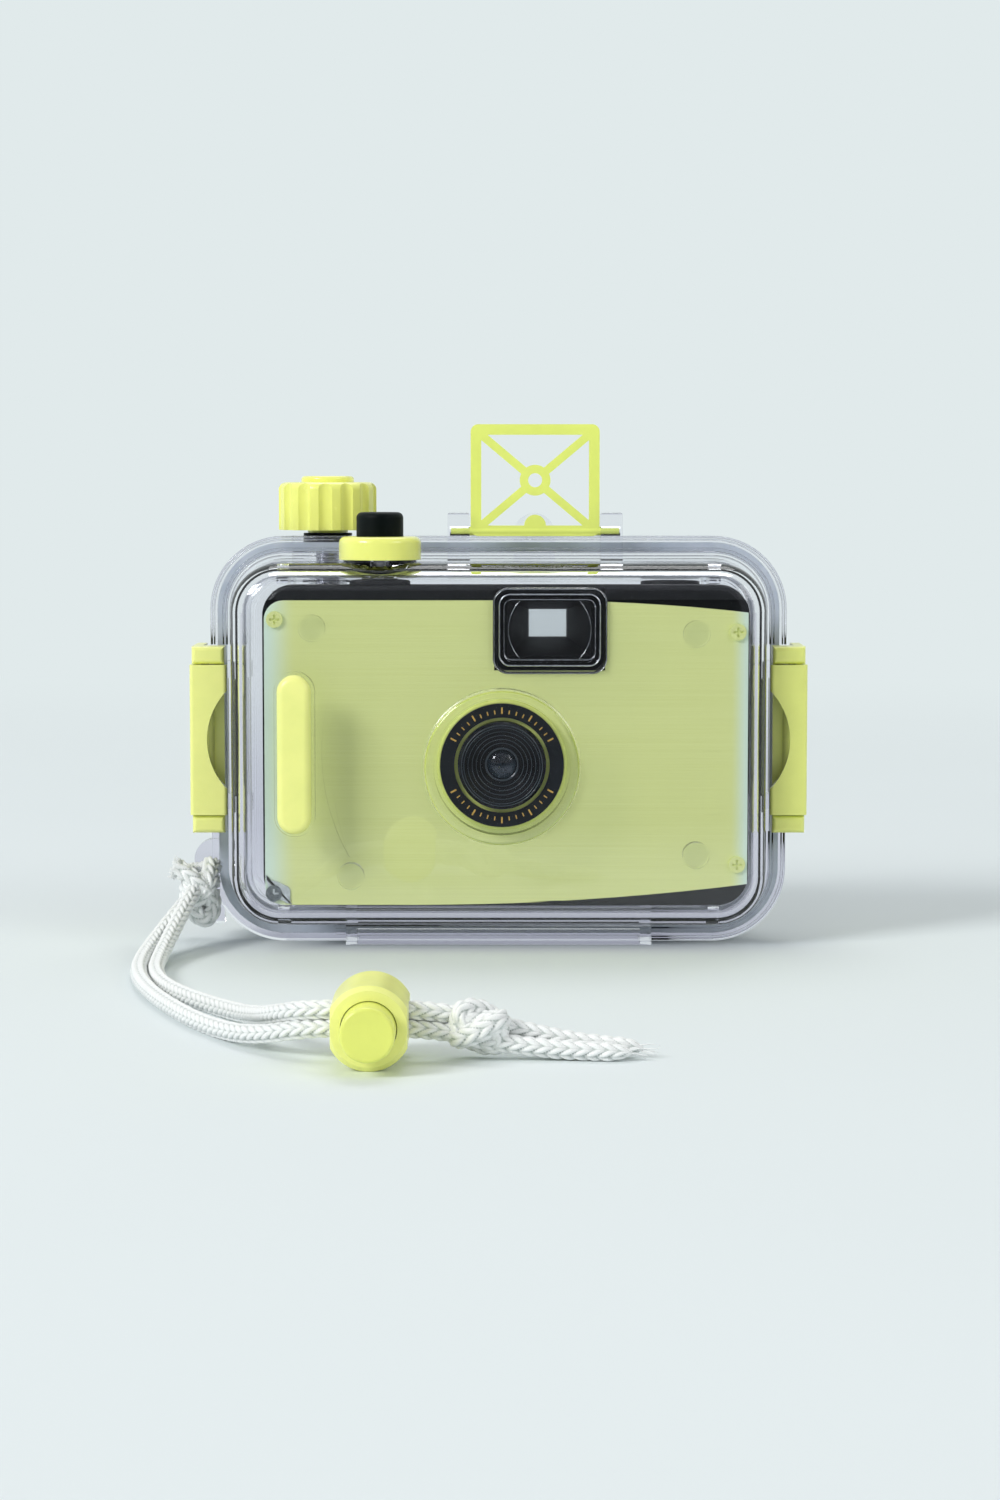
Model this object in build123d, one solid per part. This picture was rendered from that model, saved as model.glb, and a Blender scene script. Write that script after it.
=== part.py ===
# Underwater film camera: a clear two-part diving case with a 35 mm film camera inside it.
# The lens looks along -Y and +Z is up. The origin is at the middle of the case's footprint, on the floor.
# Depths in the named values are measured from the seam between the two case shells.
# Sizes are in millimetres and angles in degrees.
from build123d import *
import math
import os

# Case outline
rim_width = 121.0
rim_height = 85.5
rim_corner = 15.5
rim_reach = 4.8          # how far the rim stands out from the case wall
rim_thick = 2.5          # thickness of each shell's rim
wall = 2.3
front_depth = 22.5
back_depth = 22.5
draft_angle = 2.0
edge_round = 5.5         # rounding between a side wall and the front or back wall

# Rubber seal in the back rim
seal_width = 2.0
seal_depth = 1.3

# Groove with cross ribs in the front rim, top and bottom
groove_length = 69.0
groove_height = 1.3
groove_depth = 1.4
groove_inset = 1.2
groove_rib = 0.7
groove_rib_places = (-31.5, -6.5, 6.5, 31.5)

# Feet under the case
foot_length = 64.0
foot_reach = 9.0         # how far a foot runs out from the seam
foot_height = 3.0

# Lens port in the front wall
lens_x = 0.7
lens_z = 38.8
port_radius = 16.1
port_rise = 3.8
port_wall = 2.1
port_round = 1.2

# Window boxes over the viewfinder, front and back
finder_x = 10.5
finder_z = 66.5
finder_box_width = 23.4
finder_box_height = 17.6
finder_box_corner = 3.2
finder_box_rise = 1.8
eyepiece_box_width = 16.0
eyepiece_box_height = 12.0
eyepiece_box_rise = 2.0

# Grip bar on the front wall
grip_x = -41.6
grip_z = 41.4
grip_width = 7.1
grip_length = 32.6
grip_lip = 0.6           # clear lip round the bar
grip_base_rise = 3.1
grip_seat = 0.8
grip_proud = 1.9
grip_round = 1.5

# Finger scoop beside the bar, between two arcs
scoop_height = 42.8
scoop_edge_x = -30.6
scoop_outer_sag = 5.6
scoop_inner_sag = 3.7
scoop_depth = 0.8

# Raised pad on the front wall
pad_x = 43.8
pad_z = 35.4
pad_width = 8.8
pad_height = 13.0
pad_rise = 0.3

# Posts that steady the camera, front and back, as (x, z)
front_post_places = ((-38.3, 66.9), (40.6, 65.7), (-30.4, 15.8), (40.6, 20.1))
back_post_places = ((-30.4, 56.0), (40.6, 65.7), (-30.4, 15.8), (40.6, 20.1))
post_radius = 2.75
post_gap = 0.3

# Ribs under and over the camera
rib_x = 44.6
rib_thick = 2.4
rib_start = 3.0
rib_end = 14.5
rib_gap = 0.3

# Strap lug
lug_low = 3.4
lug_high = 21.3
lug_stand = 3.9          # how far the lug stands out past the rim
lug_corner = 4.2
lug_thick = 3.5
lug_bar = 1.5
lug_hole_width = 3.3
lug_hole_height = 9.0

# Film camera
cam_width = 100.4
cam_x = 1.6              # the camera sits a little to the right in the case
cam_under = 2.1          # clear space under the camera
cam_over = 2.6           # clear space over the camera
cam_front = 17.0         # face of the front plate, ahead of the seam
cam_back = 16.0          # back of the door, behind the seam
cam_corner = 6.5
plate_thick = 1.0
door_thick = 2.5
cover_height = 3.2
plate_drop = 2.5         # how much lower the plate's top is at its right end
plate_lift = 4.4         # how much higher its bottom is there
plate_level = 24.0       # how far its bottom edge runs level from its left end
film_height = 35.0
film_thick = 0.25
gate_width = 36.0
gate_height = 24.0

screw_places = ((-46.4, 12.0), (49.2, 18.0), (-46.0, 68.6), (49.2, 66.0))
screw_radius = 1.7

# Camera lens
ring_radius = 12.7
ring_bore = 9.8
ring_thick = 1.0
ring_stand = 3.2         # the ring's face, ahead of the front plate
mount_radius = 9.0
mount_bore = 3.2
mount_ahead = 4.2
mount_length = 9.0
lens_radius = 3.0
lens_thick = 2.2

# Shutter behind the lens, its depths from the face of the front plate
board_depth = 6.1
board_thick = 1.5
board_hole = 2.2
blade_depth = 5.4
shutter_thick = 0.5
shutter_disc = 4.2
shutter_arm = 4.0
shutter_hub = 2.0
shutter_pivot = 8.5      # from the lens axis to the blade's pivot
shutter_pin = 0.8
shutter_pin_proud = 0.3

# Camera viewfinder
finder_frame_width = 22.6
finder_frame_height = 16.6
finder_frame_corner = 2.6
finder_frame_ahead = 1.6
finder_front_width = 18.6
finder_front_height = 12.2
finder_back_width = 7.6
finder_back_height = 5.6
finder_lens_thick = 1.2
finder_rim = 1.0         # how far the window's rebate reaches past its opening
finder_depth = 2.9       # how far the frame runs in behind the front plate

# Film winding
knob_x = -36.4
knob_y = 10.5
knob_radius = 10.4
knob_height = 10.1
knob_low = 86.5
knob_flutes = 14
knob_flute_radius = 1.9
knob_flute_cut = 0.75
knob_disc_radius = 5.6
knob_disc_rise = 1.3
knob_edge = 1.6
knob_boss_radius = 7.6
knob_boss_high = 85.4
bush_drop = 0.9          # how far the shaft's bush stands down from the top wall
bush_radius = 5.4
knob_seal_radius = 5.2
knob_seal_thick = 1.9
knob_seal_seat = 1.5
shaft_radius = 2.5
blade_width = 7.0
blade_thick = 1.2
blade_length = 2.4
wheel_radius = 7.0
wheel_thick = 3.0
wheel_high = 72.4
wheel_teeth = 36
hub_radius = 4.6
hub_proud = -0.6
slot_depth = 2.0
gear_module = 0.7
pinion_teeth = 10
spool_teeth = 18
gear_thick = 2.4
spool_radius = 5.2
spool_low = 15.5
spool_flange = 1.6       # how far the spool's end plates stand out
spool_neck = 3.0
spool_slot = 1.4         # film slot through the spool
run_gap = 0.05           # radial running clearance of a shaft in its bore
press_gap = 0.1          # clearance round a piece that sits still in its seat
side_gap = 0.2           # clearance along an axis and beside a moving piece

# Shutter button
button_x = -24.5
button_y = -12.0
button_radius = 4.85
button_high = 90.5
button_lip = 0.85
button_lip_thick = 0.7
button_round = 1.2
button_travel = 1.5
collar_radius = 8.5
collar_high = 85.5
collar_lip = 0.8
collar_round = 1.4
boss_radius = 6.2
boss_rise = 1.5
skirt_radius = 7.6
plunger_radius = 1.5
plunger_seal_radius = 2.8
plunger_seal_thick = 1.2
release_length = 12.6
release_width = 7.0
release_proud = 1.3
release_sunk = 3.5       # how far the button reaches into the camera
release_well_depth = 6.0
spring_wire = 0.5
spring_radius = 2.6
spring_turns = 4.0
clip_thick = 0.7
clip_reach = 1.6

# Film rewind
rewind_x = 36.0
rewind_y = -0.5
rewind_radius = 6.2
rewind_thick = 1.8
rewind_shaft_radius = 2.0
cassette_radius = 12.5
cassette_height = 47.0
cassette_wall = 0.5
core_radius = 4.5
core_proud = 1.6

# Sports sight on top
sight_x = 7.6
sight_width = 26.8
sight_height = 23.2
sight_bar = 2.2
sight_thick = 1.6
sight_corner = 1.6
sight_strut = 1.7
sight_ring_radius = 3.2
sight_ring_bore = 1.45
sight_tab_radius = 2.25
sight_hinge_y = -6.0
sight_hinge_z = 86.5
sight_pin_radius = 0.95
sight_pin_wall = 0.5     # what a blind pin bore leaves of its bracket
bracket_width = 4.6
bracket_depth = 4.6
bracket_high = 90.3
fin_radius = 4.4
fin_high = 90.0
fin_thick = 1.8
fin_y = 12.0

# Side clasps, for the +X side
clasp_low = 23.5
clasp_high = 62.5
clasp_cap = 3.6
clasp_stand = 3.9        # how far the lever's outer face stands out past the rim
lever_width = 7.7
lever_thick = 1.8
lever_front = 8.9
lever_wrap = 4.6
lever_pin_inset = 3.0    # from the lever's outer face to its pin
lever_pin_y = -5.6
lever_hub = 1.9
pad_width = 3.9
pad_front = 4.4
pad_gap = 0.15
link_thick = 2.0
link_inset = 0.4         # the frame's outer wall, behind the lever's outer face
link_front = 2.3
hinge_inset = 1.1        # the hinge pin, in from the rim's edge
hinge_y = 6.3
hinge_knuckle = 2.1
ear_radius = 1.9
ear_height = 3.5
pin_radius = 0.9
cap_front = 8.4
cap_rear = 2.9
cap_width = 6.8
scallop_height = 20.5
scallop_depth = 4.1

# Wrist strap
cord_radius = 1.5
lock_x = -21.4
lock_low = 0.0
lock_radius = 7.2
lock_back = -137.55
lock_length = 20.0
lock_flat = 6.4          # half the width over the two flats where the cord runs in
lock_slot_length = 3.5
lock_slot_height = 6.5
lock_button_radius = 4.6
lock_button_proud = 6.5
lock_travel = 2.2
lock_wall = 1.8
lock_spring_room = 3.7
lock_button_wall = 1.2
lug_knot_length = 12.8
lug_knot_radius = 4.8
lug_knot_place = (-62.4, -6.4, 11.9)
end_knot_length = 12.8
end_knot_radius = 5.2
knot_clear = 0.1
end_knot_x = -3.4
end_knot_y = -144.4

# Places that follow from the values above
case_z = rim_height / 2
lug_reach = rim_width / 2 + lug_stand
clasp_reach = rim_width / 2 + clasp_stand
lever_inner = clasp_reach - lever_width
lever_pin_x = clasp_reach - lever_pin_inset
pad_inner = lever_pin_x - pad_width
link_outer = clasp_reach - link_inset
link_inner = link_outer - link_thick
cap_inner = link_outer - cap_width
hinge_x = rim_width / 2 - hinge_inset
wall_x = rim_width / 2 - rim_reach
wall_high = rim_height - rim_reach
inner_high = wall_high - wall
inner_low = rim_reach + wall
cam_low = inner_low + cam_under
cam_high = inner_high - cam_over
chassis_high = cam_high - cover_height
film_z = lens_z
cassette_low = film_z - cassette_height / 2
door_y = cam_back - door_thick
film_y = door_y - 1.0
tunnel_front = mount_length - cam_front
grip_face = front_depth + grip_base_rise + grip_proud
back_reach = back_depth + eyepiece_box_rise
seam_y = (grip_face - back_reach) / 2
clasp_z = (clasp_low + clasp_high) / 2
pinion_radius = gear_module * pinion_teeth / 2
spool_gear_radius = gear_module * spool_teeth / 2
spool_y = knob_y - pinion_radius - spool_gear_radius
gear_high = wheel_high - wheel_thick - side_gap
gear_low = gear_high - gear_thick
clip_high = inner_high - bush_drop - side_gap
lock_z = lock_low + lock_radius
lock_slot_y = lock_back - lock_wall - lock_spring_room - lock_button_wall - lock_slot_length / 2

# Routes of the two strap cords, from the lug to the melted ends
rear_route = [
    (-63.2, -9.5, 12.4), (-65.4, -20.0, 8.0), (-67.2, -32.2, 3.6), (-67.8, -45.4, 1.6),
    (-66.8, -59.0, 1.6), (-64.0, -72.6, 1.6), (-59.2, -85.4, 1.6), (-52.6, -97.4, 1.6),
    (-46.4, -109.4, 2.1), (-42.0, -122.6, 3.8), (-38.8, -136.0, 6.2), (-32.4, -146.0, 8.75),
    (-12.6, -146.0, 8.75), (-3.2, -143.6, 6.6), (6.4, -142.6, 3.9), (16.0, -143.0, 2.2), (24.6, -144.2, 1.7),
]
fore_route = [
    (-65.2, -8.6, 9.4), (-68.2, -19.0, 5.8), (-70.8, -32.0, 2.6), (-71.2, -46.0, 1.6),
    (-70.0, -60.0, 1.6), (-67.4, -74.0, 1.6), (-63.6, -88.0, 1.6), (-59.0, -101.6, 1.6),
    (-53.6, -115.2, 1.6), (-47.2, -127.8, 1.8), (-40.6, -138.4, 3.0), (-31.4, -146.0, 5.65),
    (-12.8, -146.0, 5.65), (-3.4, -145.6, 3.6), (6.0, -146.0, 2.2), (15.4, -146.4, 1.6), (22.6, -147.6, 1.6),
]


def upright(x, y, low, high, radius):
    """A vertical cylinder between two heights."""
    return Pos(x, y, (low + high) / 2) * Cylinder(radius, high - low)


def block(x, y, z):
    """A box from three (low, high) pairs."""
    size = (x[1] - x[0], y[1] - y[0], z[1] - z[0])
    return Pos(sum(x) / 2, sum(y) / 2, sum(z) / 2) * Box(*size)


def forward(sketch, start, end):
    """A sketch in X and Z, pulled along Y from start to end, start being the nearer to the lens side."""
    return extrude(Plane.XZ.offset(-end) * sketch, end - start)


def outline(width, height, corner, x=0.0, z=0.0):
    return Pos(x, z) * RectangleRounded(width, height, corner)


def pill(length, width, x, z):
    """An upright slot shape."""
    return Pos(x, z) * Rot(0, 0, 90) * SlotOverall(length, width)


def front_edges(solid):
    """The edges round the face that looks forward."""
    return solid.faces().sort_by(Axis.Y)[0].edges()


def dome(inset, depth, rounding):
    """The case's hollow form from the seam forward, drawn in by inset, with its front edges rounded."""
    sketch = outline(
        2 * (wall_x - inset), rim_height - 2 * (rim_reach + inset), rim_corner - rim_reach - inset, 0, case_z
    )
    solid = extrude(Plane.XZ * sketch, depth, taper=draft_angle)
    return fillet(front_edges(solid), rounding)


def rim(start, end):
    return forward(outline(rim_width, rim_height, rim_corner, 0, case_z), start, end)


def rim_groove(low):
    """The groove in the front rim with its cross ribs left standing."""
    groove = block(
        (-groove_length / 2, groove_length / 2), (-rim_thick, -rim_thick + groove_depth), (low, low + groove_height)
    )
    for place in groove_rib_places:
        groove -= block(
            (place - groove_rib / 2, place + groove_rib / 2), (-rim_thick, 0), (low, low + groove_height)
        )
    return groove


def foot(start, end):
    """A foot block under the case, level with the rim."""
    solid = block((-foot_length / 2, foot_length / 2), (start, end), (0, rim_reach + wall / 2))
    hollow = block(
        (-foot_length / 2 + wall, foot_length / 2 - wall),
        (start + wall, end - wall),
        (-1, foot_height),
    )
    return solid - hollow


def camera_ribs(start, end):
    """Ribs that hold the camera up and keep it down, left and right."""
    ribs = []
    for side in (-1, 1):
        x = (side * rib_x - rib_thick / 2, side * rib_x + rib_thick / 2)
        ribs.append(block(x, (start, end), (inner_low - wall / 2, cam_low)))
        ribs.append(block(x, (start, end), (cam_high + rib_gap, inner_high + wall / 2)))
    return ribs


def arc_through(x, sag, z_low, z_high):
    """An arc between two heights at x that bows towards -X by sag."""
    return ThreePointArc((x, z_low), (x - sag, (z_low + z_high) / 2), (x, z_high))


def finger_scoop():
    low, high = grip_z - scoop_height / 2, grip_z + scoop_height / 2
    edge = [
        arc_through(scoop_edge_x, scoop_outer_sag, low, high),
        arc_through(scoop_edge_x, scoop_inner_sag, low, high),
    ]
    return forward(make_face(edge), -front_depth, -front_depth + scoop_depth)


def front_shell():
    window = outline(finder_box_width, finder_box_height, finder_box_corner, finder_x, finder_z)
    inner_window = outline(
        finder_box_width - 2 * wall, finder_box_height - 2 * wall, finder_box_corner - 1.2, finder_x, finder_z
    )
    grip_base = pill(grip_length + 2 * grip_lip, grip_width + 2 * grip_lip, grip_x, grip_z)
    port = forward(Pos(lens_x, lens_z) * Circle(port_radius), -front_depth - port_rise, -front_depth + wall)
    port = fillet(front_edges(port), port_round)
    box = forward(window, -front_depth - finder_box_rise, -front_depth + wall)
    box = fillet(front_edges(box), 0.6)
    shell = dome(0, front_depth, edge_round) + rim(-rim_thick, 0) + port + box
    shell += forward(grip_base, -front_depth - grip_base_rise, -front_depth + wall)
    shell += forward(
        Pos(pad_x, pad_z) * RectangleRounded(pad_width, pad_height, 0.8), -front_depth - pad_rise, -front_depth + wall
    )
    shell += upright(button_x, button_y, wall_high - edge_round, wall_high, skirt_radius)
    shell += upright(button_x, button_y, wall_high - wall, wall_high + boss_rise, boss_radius)
    shell += foot(-foot_reach, 0)
    for side in (-1, 1):
        shell += sight_bracket(side)
    shell -= dome(wall, front_depth - wall, edge_round - wall)
    shell -= forward(
        Pos(lens_x, lens_z) * Circle(port_radius - port_wall), -front_depth - port_rise + wall, -front_depth + 2 * wall
    )
    shell -= forward(inner_window, -front_depth - finder_box_rise + wall, -front_depth + 2 * wall)
    shell += upright(button_x, button_y, inner_high - bush_drop, inner_high + 0.5, plunger_seal_radius + 1.0)
    for rib in camera_ribs(-rib_end, -rib_start):
        shell += rib
    for x, z in front_post_places:
        shell += forward(Pos(x, z) * Circle(post_radius), -front_depth + wall / 2, -cam_front - post_gap)
    shell -= finger_scoop()
    shell -= forward(
        pill(grip_length, grip_width, grip_x, grip_z), -front_depth - grip_base_rise,
        -front_depth - grip_base_rise + grip_seat,
    )
    shell -= rim_groove(groove_inset)
    shell -= rim_groove(rim_height - groove_inset - groove_height)
    shell -= upright(button_x, button_y, cam_high, wall_high + boss_rise + 1, plunger_radius + run_gap)
    shell -= upright(
        button_x, button_y, wall_high + boss_rise - plunger_seal_thick, wall_high + boss_rise, plunger_seal_radius
    )
    return shell - strap_lug()[1]


def sight_bracket(side):
    """One of the two posts that carry the sight's hinge pins."""
    start = sight_x + side * (sight_width / 2 + side_gap)
    x = sorted((start, start + side * bracket_width))
    y = (sight_hinge_y - bracket_depth / 2, sight_hinge_y + bracket_depth / 2)
    post = block(x, y, (wall_high - wall / 2, bracket_high))
    post = fillet(post.faces().sort_by(Axis.Z)[-1].edges(), 0.5)
    bore_x = (x[0] + x[1] - side * sight_pin_wall) / 2
    bore = Pos(bore_x, sight_hinge_y, sight_hinge_z) * Rot(0, 90, 0) * Cylinder(
        sight_pin_radius + run_gap, bracket_width - sight_pin_wall
    )
    return post - bore


def hinge_ears(side):
    """Two ears on the back shell's wall that hold one clasp's hinge pin."""
    ears = []
    for low in (clasp_low + clasp_cap, clasp_high - clasp_cap - ear_height):
        high = low + ear_height
        x = sorted((side * (wall_x - wall / 2), side * hinge_x))
        ear = block(x, (hinge_y - ear_radius, hinge_y + ear_radius), (low, high))
        ear += upright(side * hinge_x, hinge_y, low, high, ear_radius)
        ears.append(ear - upright(side * hinge_x, hinge_y, low - 1, high + 1, pin_radius + run_gap))
    return ears


def strap_lug():
    """The loop on the rim's left side that the strap runs through."""
    outer, inner = -lug_reach, -(rim_width / 2 - rim_reach / 2)
    middle = (lug_low + lug_high) / 2
    plate = outline(inner - outer + lug_corner, lug_high - lug_low, lug_corner, (outer + inner + lug_corner) / 2, middle)
    plate -= Pos(inner + lug_corner, middle) * Rectangle(2 * lug_corner, lug_high)
    hole = outline(lug_hole_width, lug_hole_height, lug_hole_width / 2 - 0.05, outer + lug_bar + lug_hole_width / 2, middle)
    return forward(plate, 0, lug_thick), forward(hole, -rim_thick - 1, lug_thick + 1)


def sight_fin():
    """The clear fin on the back shell that stands behind the sight."""
    low = wall_high - wall / 2
    fin = forward(
        Pos(sight_x, (low + fin_high - fin_radius) / 2) * Rectangle(2 * fin_radius, fin_high - fin_radius - low),
        fin_y - fin_thick / 2, fin_y + fin_thick / 2,
    )
    fin += forward(
        Pos(sight_x, fin_high - fin_radius) * Circle(fin_radius), fin_y - fin_thick / 2, fin_y + fin_thick / 2
    )
    return fin


def back_dome(inset, depth, rounding):
    return mirror(dome(inset, depth, rounding), about=Plane.XZ)


def back_shell():
    window = outline(eyepiece_box_width, eyepiece_box_height, finder_box_corner, finder_x, finder_z)
    inner_window = outline(
        eyepiece_box_width - 2 * wall, eyepiece_box_height - 2 * wall, finder_box_corner - 2.0, finder_x, finder_z
    )
    lug, lug_hole = strap_lug()
    shell = back_dome(0, back_depth, edge_round) + rim(0, rim_thick)
    shell += forward(window, back_depth - wall, back_reach)
    shell += upright(knob_x, knob_y, wall_high - edge_round, knob_boss_high, knob_boss_radius)
    shell += foot(0, foot_reach)
    shell += sight_fin()
    shell += lug
    for side in (-1, 1):
        for ear in hinge_ears(side):
            shell += ear
    shell -= back_dome(wall, back_depth - wall, edge_round - wall)
    shell -= forward(inner_window, back_depth - 2 * wall, back_reach - wall)
    for rib in camera_ribs(rib_start, rib_end):
        shell += rib
    for x, z in back_post_places:
        shell += forward(Pos(x, z) * Circle(post_radius), cam_back + post_gap, back_depth - wall / 2)
    shell += upright(knob_x, knob_y, inner_high - bush_drop, inner_high + 0.5, bush_radius)
    shell -= seal_ring(0.0)
    shell -= upright(knob_x, knob_y, cam_high, knob_boss_high + 1, shaft_radius + run_gap)
    shell -= upright(knob_x, knob_y, knob_boss_high - knob_seal_seat, knob_boss_high + 1, knob_seal_radius)
    shell -= lug_hole
    return shell


def seal_ring(shrink):
    """The seal's band round the rim, made a little narrower by shrink."""
    middle = rim_reach / 2
    outer = outline(
        rim_width - 2 * middle + seal_width - shrink, rim_height - 2 * middle + seal_width - shrink,
        rim_corner - middle + seal_width / 2, 0, case_z,
    )
    inner = outline(
        rim_width - 2 * middle - seal_width + shrink, rim_height - 2 * middle - seal_width + shrink,
        rim_corner - middle - seal_width / 2, 0, case_z,
    )
    return forward(outer - inner, 0, seal_depth)


def front_grip():
    face = -grip_face
    bar = forward(pill(grip_length - 0.1, grip_width - 0.1, grip_x, grip_z), face, face + grip_proud + grip_seat)
    return fillet(front_edges(bar), grip_round)


# The camera's pieces

def camera_block(start, end, low, high):
    """A band of the camera's rounded outline between two heights."""
    sketch = outline(cam_width, cam_high - cam_low, cam_corner, cam_x, (cam_low + cam_high) / 2)
    whole = forward(sketch, start, end)
    return whole & block((-cam_width, cam_width), (start, end), (low, high))


def chassis():
    front = -cam_front + plate_thick
    solid = camera_block(front, door_y, cam_low, chassis_high)
    solid -= upright(rewind_x, rewind_y, cassette_low - side_gap, chassis_high - 5, cassette_radius + 0.3)
    solid -= block(
        (rewind_x - cassette_radius - 0.3, rewind_x + cassette_radius - 1), (rewind_y, door_y),
        (cassette_low - side_gap, chassis_high - 5),
    )
    solid -= upright(rewind_x, rewind_y, chassis_high - 6, chassis_high + 1, rewind_shaft_radius + run_gap)
    room = spool_radius + 2.5
    solid -= upright(knob_x, spool_y, spool_low - side_gap, chassis_high, room)
    solid -= block((knob_x - room, knob_x + room), (spool_y, door_y), (spool_low - side_gap, gear_low - 2.5))
    solid -= upright(knob_x, knob_y, gear_low - 2.5, chassis_high, wheel_radius + 0.6)
    solid -= block((knob_x - room, knob_x + room), (spool_y, knob_y), (gear_low - 2.5, chassis_high))
    half_slot = film_height / 2 + 0.5
    solid -= block((knob_x + room - 1, rewind_x), (film_y, door_y), (film_z - half_slot, film_z + half_slot))
    tunnel = loft(
        [
            Plane.XZ.offset(-tunnel_front) * Pos(lens_x, lens_z) * Rectangle(gate_width / 3, gate_height * 0.375),
            Plane.XZ.offset(-film_y) * Pos(lens_x, lens_z) * Rectangle(gate_width, gate_height),
        ]
    )
    solid -= tunnel
    solid -= forward(Pos(lens_x, lens_z) * Circle(ring_radius), front, tunnel_front)
    solid -= finder_tunnel(0.0)
    solid -= block(
        (finder_x - finder_frame_width / 2 - press_gap, finder_x + finder_frame_width / 2 + press_gap),
        (front, -cam_front + plate_thick + finder_depth + press_gap),
        (finder_z - finder_frame_height / 2 - press_gap, chassis_high),
    )
    return solid - release_well(chassis_high - release_well_depth, chassis_high + 1)


def release_form(low, high, grow):
    """The oblong form of the camera's release button."""
    sketch = Pos(button_x, button_y) * SlotOverall(release_length + 2 * grow, release_width + 2 * grow)
    return Pos(0, 0, low) * extrude(sketch, high - low)


def release_well(low, high):
    return release_form(low, high, run_gap)


def finder_tunnel(grow):
    """The viewfinder's tapering light path through the camera."""
    return loft(
        [
            Plane.XZ.offset(cam_front) * Pos(finder_x, finder_z)
            * Rectangle(finder_front_width + grow, finder_front_height + grow),
            Plane.XZ.offset(-cam_back) * Pos(finder_x, finder_z)
            * Rectangle(finder_back_width + grow, finder_back_height + grow),
        ]
    )


def plate_outline():
    """The front plate's outline: square on the left, with its top and bottom edges closing in to the right."""
    left, right = cam_x - cam_width / 2 + 0.4, cam_x + cam_width / 2 - 0.4
    low, high = cam_low + 0.3, chassis_high - 0.1
    turn = finder_x
    top = ThreePointArc((turn, high), ((turn + right) / 2, high - plate_drop * 0.3), (right, high - plate_drop))
    level = left + plate_level
    bottom = ThreePointArc(
        (right, low + plate_lift), ((level + right) / 2, low + plate_lift * 0.22), (level, low)
    )
    edges = [
        Line((left, high), (turn, high)), top, Line((right, high - plate_drop), (right, low + plate_lift)),
        bottom, Line((level, low), (left, low)), Line((left, low), (left, high)),
    ]
    face = make_face(edges)
    corners = face.vertices().sort_by(Axis.X)[:2]
    return fillet(corners, 4.0)


def faceplate():
    plate = forward(plate_outline(), -cam_front, -cam_front + plate_thick)
    plate -= forward(Pos(lens_x, lens_z) * Circle(mount_radius + press_gap), -cam_front - 1, 0)
    plate -= block(
        (finder_x - finder_frame_width / 2 - press_gap, finder_x + finder_frame_width / 2 + press_gap),
        (-cam_front - 1, 0),
        (finder_z - finder_frame_height / 2 - press_gap, chassis_high + 1),
    )
    return plate


def lens_seat():
    """The raised collar of the front plate that carries the lens ring."""
    back, face = -cam_front, -cam_front - ring_stand + ring_thick
    seat = forward(Pos(lens_x, lens_z) * Circle(ring_radius + 0.7), face, back)
    seat = chamfer(front_edges(seat), 0.5)
    return seat - forward(Pos(lens_x, lens_z) * Circle(mount_radius + press_gap), face - 1, back + 1)


def lens_ring():
    face = -cam_front - ring_stand
    ring = Circle(ring_radius) - Circle(ring_bore)
    return forward(Pos(lens_x, lens_z) * ring, face, face + ring_thick)


def lens_mount():
    """The stepped black barrel that closes down towards the glass."""
    steps = 5
    front = cam_front + mount_ahead
    points = [(mount_bore, front - mount_length), (mount_radius, front - mount_length), (mount_radius, front - 0.5)]
    points += [(mount_radius - 0.5, front), (mount_radius - 1.2, front)]
    run = (mount_radius - 1.2 - lens_radius - 0.6) / steps
    drop = 3.4 / steps
    for step in range(steps):
        points.append((mount_radius - 1.2 - run * step, front - drop * (step + 1)))
        points.append((mount_radius - 1.2 - run * (step + 1), front - drop * (step + 1)))
    points += [(lens_radius + 0.05, front - 3.4), (lens_radius + 0.05, front - 3.4 - lens_thick - 0.2)]
    points += [(mount_bore - 0.9, front - 3.4 - lens_thick - 0.2), (mount_bore - 0.9, front - mount_length)]
    profile = make_face(Polyline(points, close=True))
    return Pos(lens_x, 0, lens_z) * Rot(90, 0, 0) * revolve(Plane.XZ * profile, Axis.Z)


def lens_glass():
    """A glass element with one round face."""
    front = cam_front + mount_ahead - 3.4
    arc = ThreePointArc((0, front + 0.7), (lens_radius * 0.6, front + 0.45), (lens_radius, front - 0.3))
    edges = [
        arc, Line((lens_radius, front - 0.3), (lens_radius, front - lens_thick)),
        Line((lens_radius, front - lens_thick), (0, front - lens_thick)), Line((0, front - lens_thick), (0, front + 0.7)),
    ]
    return Pos(lens_x, 0, lens_z) * Rot(90, 0, 0) * revolve(Plane.XZ * make_face(edges), Axis.Z)


def shutter_blade():
    """The swinging blade behind the lens, with its pivot hub."""
    blade = Circle(shutter_disc)
    blade += Pos(shutter_pivot / 2, 0) * Rectangle(shutter_pivot, shutter_arm)
    blade += Pos(shutter_pivot, 0) * Circle(shutter_hub)
    blade -= Pos(shutter_pivot, 0) * Circle(shutter_pin + run_gap)
    face = -cam_front + blade_depth
    return forward(Pos(lens_x, lens_z) * blade, face, face + shutter_thick)


def lens_board():
    """The plate behind the lens that carries the blade's pivot."""
    plate = Circle(ring_radius - press_gap) - Circle(board_hole)
    face = -cam_front + board_depth
    board = forward(Pos(lens_x, lens_z) * plate, face, face + board_thick)
    pin = Pos(lens_x + shutter_pivot, lens_z) * Circle(shutter_pin)
    return board + forward(pin, -cam_front + blade_depth - shutter_pin_proud, face + board_thick / 2)


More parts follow.
